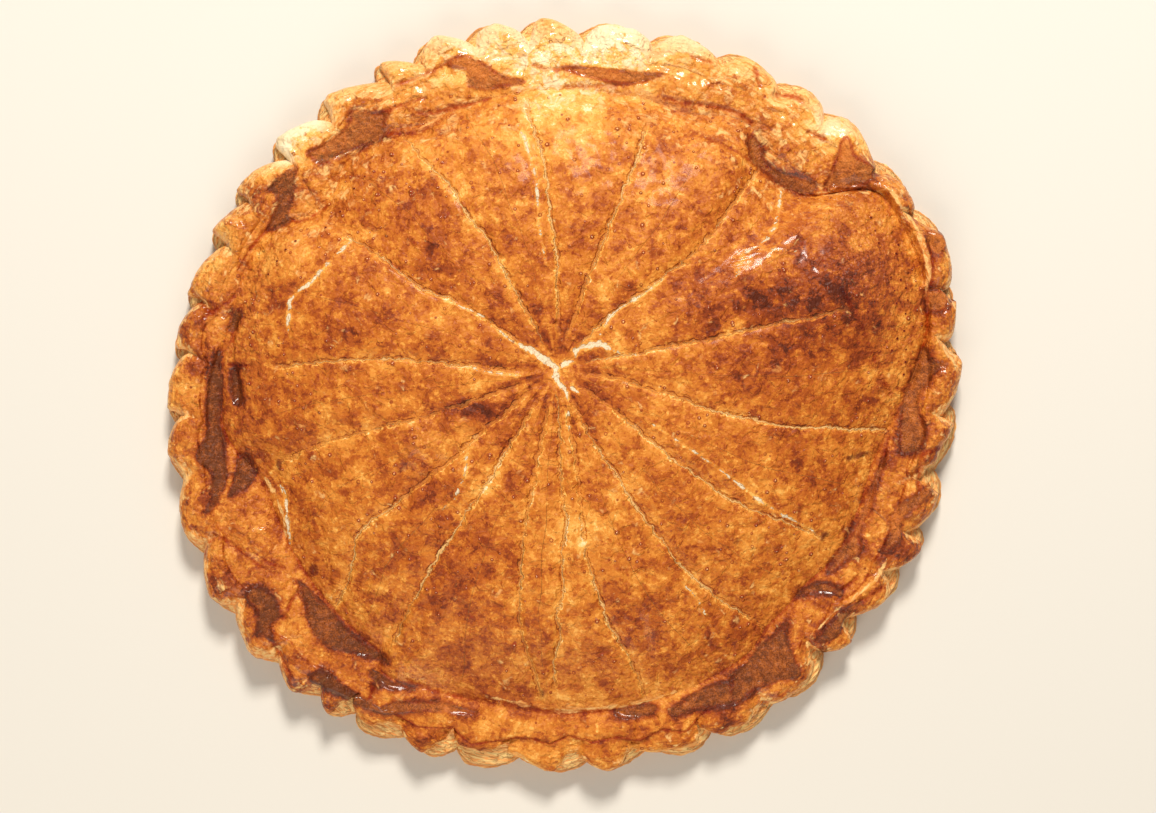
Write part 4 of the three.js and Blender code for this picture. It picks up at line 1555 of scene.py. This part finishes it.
@dataclass
class CrimpedRim:
    """The thick border round the lid: a flat band inside and a pinched rope outside."""

    per_scallop: int = 30
    band_rings: int = 26
    rope_rings: int = 46
    crowding: float = 0.45
    rope_width: float = 13.5
    crest_height: float = 18.6
    outer_height: float = 9.4
    lean: float = 0.35
    leaf: float = 0.42
    floor_height: float = 7.6
    slant: float = 3.5
    tuck: tuple[float, float, float] = (1.6, 1.3, 0.5)
    tuck_depth: float = 1.6
    lip_drop: float = 0.06
    under_rings: int = 7
    seed: int = 5

    @property
    def columns(self) -> int:
        """How many columns go round the border."""
        return self.per_scallop * len(BORDER.pinches)

    def scallops(self, column: Array) -> tuple[Array, Array, Array, Array]:
        """Finds each column's scallop.

        Args:
            column: number of each point's column.

        Returns:
            The scallop's number, the place across it from -1 to 1, how far down its side a point
            is (1 at a pinch), and the direction.
        """
        pinches = np.array(BORDER.pinches)
        widths = (np.roll(pinches, -1) - pinches) % TURN
        column = column % self.columns
        number = column // self.per_scallop
        share = (column % self.per_scallop) / self.per_scallop
        crowded = share - self.crowding * np.sin(2 * np.pi * share) / (2 * np.pi)
        across = 2 * crowded - 1
        luck = self.luck()
        leaning = across + self.lean * luck[3][number] * (1 - across**2)
        valley = np.abs(leaning) ** (2.3 + 0.8 * luck[4][number])
        return number, across, valley, pinches[number] + widths[number] * crowded

    def luck(self) -> Array:
        """What makes each scallop unlike the others: rows of values from -1 to 1."""
        return np.random.default_rng(self.seed).uniform(-1, 1, (6, len(BORDER.pinches)))

    def build(self) -> bpy.types.Object:
        """Builds the border as one closed ring."""
        inner = len(self.tuck)
        rings = inner + self.band_rings + self.rope_rings + self.under_rings
        piece, column, ring = start_grid("galette_rim", self.columns, rings)
        number, across, valley, angle = self.scallops(column)
        luck = self.luck()
        tip = BORDER.tip(angle)
        crease = BORDER.crease_radius(angle)
        foot = SURVEY.crease_height(angle)

        depth = BORDER.pinch_depth(angle) * (1 + 0.2 * luck[0][number])
        ledge = BORDER.ledge_width(angle)
        rim_x, rim_y = plan(angle, tip)
        noise = SURVEY.noise
        ragged = 1.3 * noise.at(rim_x, rim_y, 1.5, 8.0) + 0.6 * noise.at(rim_x, rim_y, 2.5, 3.0)
        ledge = ledge * (1 + 0.75 * luck[4][number])
        deep = swells_at(angle, ROPE_FOLDS)
        swing = 0.9 * noise.at(rim_x, rim_y, 12.5, 17.0)
        bared = np.maximum(0.55 + blend(0.45 * valley, swing + 0.15 * valley, deep), 0.05)
        outer = tip - 0.3 - depth * valley - ledge * bared + ragged * (0.6 + 0.1 * ledge)
        width = self.rope_width + 2.2 * luck[1][number] * (1 - valley)
        wave = 2.2 * noise.at(rim_x, rim_y, 6.5, 15.0) * deep
        fold = np.maximum(crease + 0.8, tip - width - 2.6 * valley - 0.3 * ledge + wave)
        drawn = np.interp(angle % TURN, *np.array(ROPE_LINE).T)
        fold = blend(fold, drawn, swells_at(angle, (DRAWN_FOLD,)))
        open_band = smoothstep(fold - crease, 1.0, 7.0)

        band_share = np.clip((ring - inner) / self.band_rings, 0.0, 1.0)
        arc = np.clip((ring - inner - self.band_rings) / self.rope_rings, 0.0, 1.0) * np.pi
        on_rope = ring > inner + self.band_rings
        across_rope = ((1 - np.cos(arc)) / 2) ** 1.4
        radius = np.where(on_rope, blend(fold, outer, across_rope), blend(crease, fold, band_share))
        out = np.clip((radius - crease) / np.maximum(tip - crease, 1.0), 0.0, 1.0)

        sunny = SUNNY_EDGE.at(angle)
        top = self.crest_height - 1.2 * sunny
        fold_height = blend(top - blend(1.9, 0.4, sunny), foot + 0.9, deep)
        fold_height = blend(foot + 1.0, fold_height, open_band)
        from_crease = np.maximum(radius - crease, 0.0)
        swelling = (0.9 + 0.5 * luck[2][number]) * np.sin(np.pi * band_share) * open_band
        band = blend(foot, fold_height, band_share**1.15) + swelling
        band = band + (0.6 - 0.5 * deep) * open_band * (1 - np.exp(-from_crease / 1.4)) * (1 - band_share)
        crest = top - 2.8 * deep + (0.6 + 0.5 * deep) * luck[2][number] * (1 - valley)
        inside = arc < np.pi / 2
        power = np.where(inside, blend(2.0, 0.9, deep), 0.85)
        brink = self.outer_height + 1.8 * deep
        rope = blend(np.where(inside, fold_height, brink), crest, np.sin(arc) ** power)
        furrow = valley * smoothstep(arc, blend(0.9, 0.2, deep), blend(2.2, 1.3, deep))
        rope = rope - (2.6 - 0.8 * sunny) * furrow * np.sin(np.minimum(arc, np.pi / 2 + 0.6))
        dent = bump(across - 0.55 * luck[5][number], 0.14) * np.maximum(luck[2][number], 0.0)
        rope = rope - 1.1 * dent * smoothstep(arc, 0.9, 1.7)
        section = arc * self.rope_width / 2.4
        leaves = noise.at(rim_x * 0.3, rim_y * 0.3, section + 40.0, 1.3)
        rope = rope + self.leaf * leaves * smoothstep(arc, 1.2, 1.9) * smoothstep(np.pi - arc, 0.0, 0.2)
        z = np.where(on_rope, rope, band)

        turn = angle - self.slant * np.sin(np.pi * out) * out
        x, y = plan(turn, radius)
        z = z + humps_at(x, y, BLISTERS) * np.where(on_rope, np.sin(arc), band_share)
        skin = 0.80 * noise.at(x, y, z / 2, 9.0) + 0.48 * noise.at(x, y, z / 2, 3.8)
        skin = skin + 0.18 * noise.at(x, y, z / 2, 1.8)
        z = z + skin * smoothstep(band_share, 0.0, 0.3)
        pool = SURVEY.pools(x, y)
        z = SURVEY.sink(x, y, z, pool, foot - 0.4 + 0.2 * (radius - crease))
        folds = cover_of(FOLDS, x, y)
        z = z - 0.45 * smoothstep(folds, -1.2, 0.8)
        lips = cover_of(LIPS, x, y)
        z = z + 0.5 * smoothstep(lips, -1.4, 0.2)

        # The line mark runs along the rope's fold, the folds and the crease; the shader paints it dark as
        # painted shade.
        rope_fold = 1.7 * deep - 0.9 - 1.7 * np.abs(radius - fold - 0.3)
        line = np.maximum(folds, np.where(deep > 0.3, rope_fold, -FAR))
        line = np.maximum(line, 1.7 * swells_at(angle, CREASE_DEPTHS) - 1.4 - np.abs(radius - crease))
        toasted = 0.10 * (1 - valley) * np.where(on_rope, np.sin(arc), 0.0)
        brown = SURVEY.brown(x, y) + toasted + 0.12 * luck[0][number] * np.where(on_rope, 1 - valley, 0.0)
        # The last term paints the valleys between the lobes on the top side browner as painted shade.
        brown = brown + SURVEY.pool_browning(angle, pool) + 0.10 * sunny * np.where(on_rope, valley, 0.0)
        shown = swells_at(angle, PALE_EDGES)
        # On the top side the pale edge starts further in, as painted highlight.
        start = 2.08 + 0.27 * deep - 1.0 * valley + 0.25 * luck[1][number] - 0.75 * sunny
        edge = smoothstep(arc, start, start + 0.7) * (1 - smoothstep(arc, 2.75, 3.0))
        pale = np.maximum(0.62 * smoothstep(lips, -0.7, 0.5), np.where(on_rope, shown * edge, 0.0))
        # On the top side the whole border is painted paler as painted light.
        pale = np.maximum(pale, 0.32 * sunny)
        rope_leaf = 0.25 + 0.75 * smoothstep(arc, 1.3, 2.3)
        leafy = np.where(on_rope, rope_leaf, 0.35 * smoothstep(band_share, 0.2, 0.9))

        last = inner + self.band_rings + self.rope_rings
        under = ring > last
        way = np.clip((ring - last) / self.under_rings, 0.0, 1.0)
        radius = np.where(under, blend(outer, crease - self.tuck[0], way), radius)
        z = np.where(under, self.floor_height, z)
        levels = (self.floor_height, foot - self.tuck_depth, foot - self.lip_drop)
        for step, (past, level) in enumerate(zip(self.tuck, levels)):
            radius = np.where(ring == step, crease - past, radius)
            z = np.where(ring == step, level, z)
        x, y = plan(np.where(under | (ring < inner), angle, turn), radius)

        write_points(piece, x, y, z)
        values = {
            Field.BROWN: brown,
            Field.GLOSS: SURVEY.gloss(x, y),
            Field.POOL: pool,
            Field.LINE: line,
            Field.PALE: pale,
            Field.LEAF: leafy,
            Field.SPOT: cover_of(SPOTS, x, y),
        }
        write_marks(piece, values)
        close_skin(piece)
        return piece


# ----------------------------------------------------------------------------- the base


@dataclass
class LayeredBase:
    """The bottom sheet of the pie, with its torn, leafy edge standing out under the border."""

    per_scallop: int = 30
    layers: int = 7
    rings_per_layer: int = 5
    top_rings: int = 24
    ledge_height: float = 10.6
    base_radius: float = 146.0
    leaf_edges: tuple[float, ...] = (1.1, 2.7, 4.3, 6.2)
    leaf_step: float = 0.7
    underside_rings: int = 4
    wall_foot: float = 0.5
    shelf: float = 14.0
    shelf_start: float = 1.2
    inside_height: float = 7.0

    def ledge(self, x: Array, y: Array, inward: Array) -> Array:
        """The height of the torn leaves behind the base's edge, each leaf on the one below.

        Args:
            x: first coordinate of the edge outside each point.
            y: second coordinate of the edge outside each point.
            inward: distance in from the edge.

        Returns:
            Heights against the top of the edge's wall.
        """
        height = -0.9 * smoothstep(inward, 1.4, 0.0)
        for number, start in enumerate(self.leaf_edges):
            torn = 1.3 * SURVEY.noise.at(x, y, 7.7 * number, 7.0)
            torn = torn + 0.8 * SURVEY.noise.at(x, y, 5.1 * number, 2.2)
            height = height + self.leaf_step * smoothstep(inward, start + torn, start + torn + 0.6)
        return height

    def build(self) -> bpy.types.Object:
        """Builds the base as one closed skin."""
        columns = self.per_scallop * len(BORDER.pinches)
        underside, top = self.underside_rings, self.top_rings
        wall = self.layers * self.rings_per_layer
        rings = underside + wall + top
        piece, column, ring = start_grid("galette_base", columns, rings)
        _, _, valley, angle = CrimpedRim(per_scallop=self.per_scallop).scallops(column)
        tip = BORDER.tip(angle)
        outline = tip - BORDER.pinch_depth(angle) * valley
        noise = SURVEY.noise

        up = np.clip((ring - underside) / wall, 0.0, 1.0)
        sheet = np.minimum(np.floor(up * self.layers), self.layers - 1)
        place = up * self.layers - sheet
        ax, ay = plan(angle, outline)
        ragged = noise.at(ax, ay, sheet * 11.3, 6.0) + 0.6 * noise.at(ax, ay, sheet * 17.9, 2.4)
        leaf = np.sin(np.pi * np.clip(place, 0.0, 1.0)) ** 0.6
        belly = np.sin(np.pi * np.clip(up * 0.9 + 0.1, 0, 1)) ** 0.5
        radius = outline - 3.4 * (1 - belly) - 0.6 + (0.55 * leaf - 0.5) + 0.7 * ragged * leaf
        thickness = self.ledge_height - 1.4 + 0.8 * noise.at(ax, ay, 2.0, 18.0) - 0.8 * valley
        z = self.wall_foot + up * (thickness - self.wall_foot)

        flat = ring <= underside
        share = ring / underside
        base = self.base_radius / BORDER.edge * tip - 2.6 * valley
        radius = np.where(flat, base * share, radius)
        z = np.where(flat, 0.0, z)
        over = ring > underside + wall
        back = np.clip((ring - underside - wall) / (top - 2), 0.0, 1.0)
        inward = self.shelf * back
        radius = np.where(over, outline - self.shelf_start - inward, radius)
        z = np.where(over, thickness + self.ledge(ax, ay, inward), z)
        inside = ring >= rings - 1
        z = np.where(inside, self.inside_height, z)
        radius = np.where(ring == rings, 0.0, radius)
        x, y = plan(angle, radius)
        edge = np.where(over, 1 - smoothstep(inward, 0.0, 1.6), smoothstep(up, 0.35, 0.9))
        write_points(piece, x, y, z)
        write_field(piece, Field.UNDER, np.where(flat, 1.0, 0.0))
        write_field(piece, Field.BROWN, edge)
        close_skin(piece)
        return piece


# ----------------------------------------------------------------------------- small things


class Ground:
    """The top of the finished lid, for small things to stand on."""

    SHINE = 0.25
    UPWARD = 0.3

    def __init__(self, lid: bpy.types.Object) -> None:
        """Reads the lid's points, normals and marks."""
        self.points = read_points(lid) / MM - (*CENTRING, 0.0)
        normals = np.empty(len(lid.data.vertices) * 3, dtype=np.float32)
        lid.data.vertices.foreach_get("normal", normals)
        self.normals = normals.reshape(-1, 3).astype(float)
        self.marks = {}
        for name in NEUTRAL:
            kept = np.empty(len(self.points), dtype=np.float32)
            lid.data.attributes[name.value].data.foreach_get("value", kept)
            self.marks[name] = kept.astype(float)

    def below(self, x: float, y: float) -> int:
        """The number of the upper point nearest to a place of the plan."""
        away = np.hypot(self.points[:, 0] - x, self.points[:, 1] - y)
        return int(np.argmin(away + np.where(self.normals[:, 2] > self.UPWARD, 0.0, FAR)))

    def stand(
        self, name: str, model: "SmallMark", chosen: Array, sizes: Array
    ) -> bpy.types.Object:
        """Stands copies of a small thing on chosen points, joined into one piece.

        Args:
            name: the new piece's name.
            model: the small thing, of radius 1.
            chosen: numbers of the points it stands on.
            sizes: radius of each copy.

        Returns:
            The new piece.
        """
        up = self.normals[chosen]
        side = np.cross(up, (0.0, 1.0, 0.0))
        side /= np.linalg.norm(side, axis=1, keepdims=True)
        ahead = np.cross(up, side)
        points, faces, dark = model.form()
        scaled = points[None, :, :] * sizes[:, None, None]
        every = self.points[chosen][:, None, :] + (
            scaled[..., :1] * side[:, None, :]
            + scaled[..., 1:2] * ahead[:, None, :]
            + scaled[..., 2:] * up[:, None, :]
        )
        shift = len(points)
        numbers = (np.arange(len(chosen)) * shift)[:, None]
        rows = [
            tuple(int(corner) for corner in row) for face in faces for row in np.array(face) + numbers
        ]
        mesh = bpy.data.meshes.new(name)
        mesh.from_pydata(((every.reshape(-1, 3) + (*CENTRING, 0.0)) * MM).tolist(), [], rows)
        piece = bpy.data.objects.new(name, mesh)
        bpy.context.scene.collection.objects.link(piece)
        values = {
            Field.BROWN: np.repeat(self.marks[Field.BROWN][chosen], shift),
            Field.BUBBLE: np.tile(dark, len(chosen)),
            Field.GLOSS: np.full(shift * len(chosen), self.SHINE),
        }
        write_marks(piece, values)
        close_skin(piece)
        return piece


@dataclass(frozen=True)
class SmallMark:
    """A small round thing of radius 1: rows of radius, height and darkness, from the skirt in."""

    profile: tuple[tuple[float, float, float], ...]
    top: tuple[float, float]
    sides: int = 10

    def form(self) -> tuple[Array, list[tuple[int, ...]], Array]:
        """Its points, its faces, and how dark each point is."""
        points = [(0.0, 0.0, self.top[0])]
        dark = [self.top[1]]
        for radius, height, shade in self.profile:
            for side in range(self.sides):
                x, y = plan(TURN * side / self.sides, radius)
                points.append((float(x), float(y), height))
                dark.append(shade)
        faces: list[tuple[int, ...]] = []
        for ring in range(len(self.profile) - 1):
            for side in range(self.sides):
                a = 1 + ring * self.sides + side
                b = 1 + ring * self.sides + (side + 1) % self.sides
                faces.append((a, b, b + self.sides, a + self.sides))
        last = 1 + (len(self.profile) - 1) * self.sides
        for side in range(self.sides):
            faces.append((last + side, last + (side + 1) % self.sides, 0))
        faces.append(tuple(1 + side for side in reversed(range(self.sides))))
        return np.array(points), faces, np.array(dark)


@dataclass
class Bubbles:
    """Tiny glaze bubbles that have set on the lid, joined into one mesh."""

    count: int = 330
    seed: int = 23
    sizes: tuple[float, float] = (0.28, 0.56)
    swollen: tuple[float, float] = (1.0, 1.3)
    level: float = 0.75
    crack_gap: float = 1.6
    pool_gap: float = 2.0
    score_gap: float = 1.8
    hub_gap: float = 12.0
    lowest: float = 15.0
    # The top point's darkness of -1.0 paints a near-white glint on each bubble as painted highlight.
    one: SmallMark = SmallMark(
        ((1.9, -0.10, 0.0), (1.35, 0.05, 0.7), (1.0, 0.14, 1.6), (0.72, 0.42, 1.3), (0.42, 0.6, 0.0)),
        (0.66, -1.0),
    )

    def build(self, ground: Ground) -> bpy.types.Object:
        """Scatters the bubbles over the lid."""
        generator = np.random.default_rng(self.seed)
        x, y, z = ground.points.T
        reach = np.hypot(x - HUB[0], y - HUB[1])
        fit = (ground.normals[:, 2] > self.level) & (ground.marks[Field.CRACK] < -self.crack_gap)
        fit &= ground.marks[Field.POOL] < -self.pool_gap
        fit &= np.abs(ground.marks[Field.SIDE]) > self.score_gap
        fit &= (z > self.lowest) & (reach > self.hub_gap)
        weight = np.where(fit, reach * np.exp(1.6 * SURVEY.noise.at(x, y, 12.0, 16.0)), 0.0)
        chosen = generator.choice(len(x), self.count, replace=False, p=weight / weight.sum())
        sizes = generator.uniform(*self.sizes, self.count)
        sizes = sizes * generator.choice(self.swollen, self.count)
        return ground.stand("galette_bubbles", self.one, chosen, sizes)


@dataclass
class Pricks:
    """The small holes pricked in the crust, joined into one mesh, each with its middle painted dark as
    painted shade of the hole.
    """

    one: SmallMark = SmallMark(
        ((1.8, -0.14, 0.0), (1.3, 0.18, 0.3), (1.05, 0.27, 0.6), (0.75, 0.20, 2.4), (0.4, 0.14, 2.8)),
        (0.12, 2.8),
    )
    places: tuple[tuple[float, float, float], ...] = PRICKS

    def build(self, ground: Ground) -> bpy.types.Object:
        """Pricks the crust."""
        angle, radius, sizes = np.array(self.places).T
        chosen = np.array([ground.below(*plan(turn, reach)) for turn, reach in zip(angle, radius)])
        return ground.stand("galette_pricks", self.one, chosen, sizes)


# ----------------------------------------------------------------------------- the studio


@dataclass(frozen=True)
class Lamp:
    """A soft square light: its place and size in metres, its power in watts and its colour."""

    name: str
    place: tuple[float, float, float]
    size: float
    power: float
    colour: Rgb

    def hang(self) -> None:
        """Hangs the light, aimed at the pie."""
        lamp = bpy.data.lights.new(self.name, "AREA")
        lamp.size = self.size
        lamp.energy = self.power
        lamp.color = self.colour
        light = bpy.data.objects.new(self.name, lamp)
        light.location = self.place
        x, y, z = self.place
        light.rotation_euler = (math.atan2(math.hypot(x, y), z), 0.0, math.atan2(x, -y))
        bpy.context.scene.collection.objects.link(light)


@dataclass(frozen=True)
class Studio:
    """A pale floor, soft light and a camera straight above the pie."""

    lamps: tuple[Lamp, ...] = (
        Lamp("key", (0.12, 1.25, 1.25), 0.38, 34.0, (1.0, 0.95, 0.87)),
        Lamp("fill", (-0.3, -1.4, 1.1), 1.4, 18.0, (1.0, 0.91, 0.78)),
    )
    sky: Rgb = (1.0, 0.97, 0.93)
    sky_strength: float = 0.26
    camera_height: float = 0.93
    camera_x: float = 0.0056
    camera_y: float = -0.0040
    view_width: float = 0.4535
    rim_height: float = 0.015
    sensor: float = 36.0
    floor_size: float = 8.0
    floor_gap: float = 0.0002
    floor_colour: Rgb = tint(226, 222, 214)
    floor_roughness: float = 0.9

    def build(self) -> None:
        """Builds the floor, the lights and the camera."""
        self.lay_floor()
        for lamp in self.lamps:
            lamp.hang()
        world = bpy.data.worlds.new("studio")
        world.use_nodes = True
        background = world.node_tree.nodes["Background"]
        background.inputs["Color"].default_value = (*self.sky, 1.0)
        background.inputs["Strength"].default_value = self.sky_strength
        bpy.context.scene.world = world
        bpy.context.scene.view_settings.view_transform = "Standard"
        self.place_camera()

    def lay_floor(self) -> None:
        """Lays the floor."""
        bpy.ops.object.select_all(action="DESELECT")
        bpy.ops.mesh.primitive_plane_add(size=self.floor_size, location=(0, 0, -self.floor_gap))
        floor = bpy.context.active_object
        floor.name = "floor"
        paint = bpy.data.materials.new("floor_paint")
        paint.use_nodes = True
        shader = paint.node_tree.nodes["Principled BSDF"]
        shader.inputs["Base Color"].default_value = (*self.floor_colour, 1.0)
        shader.inputs["Roughness"].default_value = self.floor_roughness
        floor.data.materials.append(paint)

    def place_camera(self) -> None:
        """Sets the camera above the pie, looking straight down."""
        lens = bpy.data.cameras.new("camera")
        lens.sensor_width = self.sensor
        lens.lens = self.sensor * (self.camera_height - self.rim_height) / self.view_width
        camera = bpy.data.objects.new("camera", lens)
        camera.location = (self.camera_x, self.camera_y, self.camera_height)
        bpy.context.scene.collection.objects.link(camera)
        bpy.context.scene.camera = camera


@dataclass
class Galette:
    """The whole pie."""

    lid: Lid = field(default_factory=Lid)
    rim: CrimpedRim = field(default_factory=CrimpedRim)
    base: LayeredBase = field(default_factory=LayeredBase)
    bubbles: Bubbles = field(default_factory=Bubbles)
    pricks: Pricks = field(default_factory=Pricks)

    def build(self) -> None:
        """Builds and dresses every piece."""
        leaves = LeafPattern()
        crust = GlazedCrust().make(leaves)
        dough = LayeredDough().make(leaves)
        lid = self.lid.build()
        ground = Ground(lid)
        bubbles = self.bubbles.build(ground)
        pricks = self.pricks.build(ground)
        hand_over(lid, crust)
        hand_over(bubbles, crust)
        hand_over(pricks, crust)
        hand_over(self.rim.build(), crust)
        hand_over(self.base.build(), dough)


def main() -> None:
    """Builds the pie and the studio round it."""
    logging.basicConfig(level=logging.INFO, format="%(message)s")
    Galette().build()
    Studio().build()


if __name__ == "__main__":
    main()
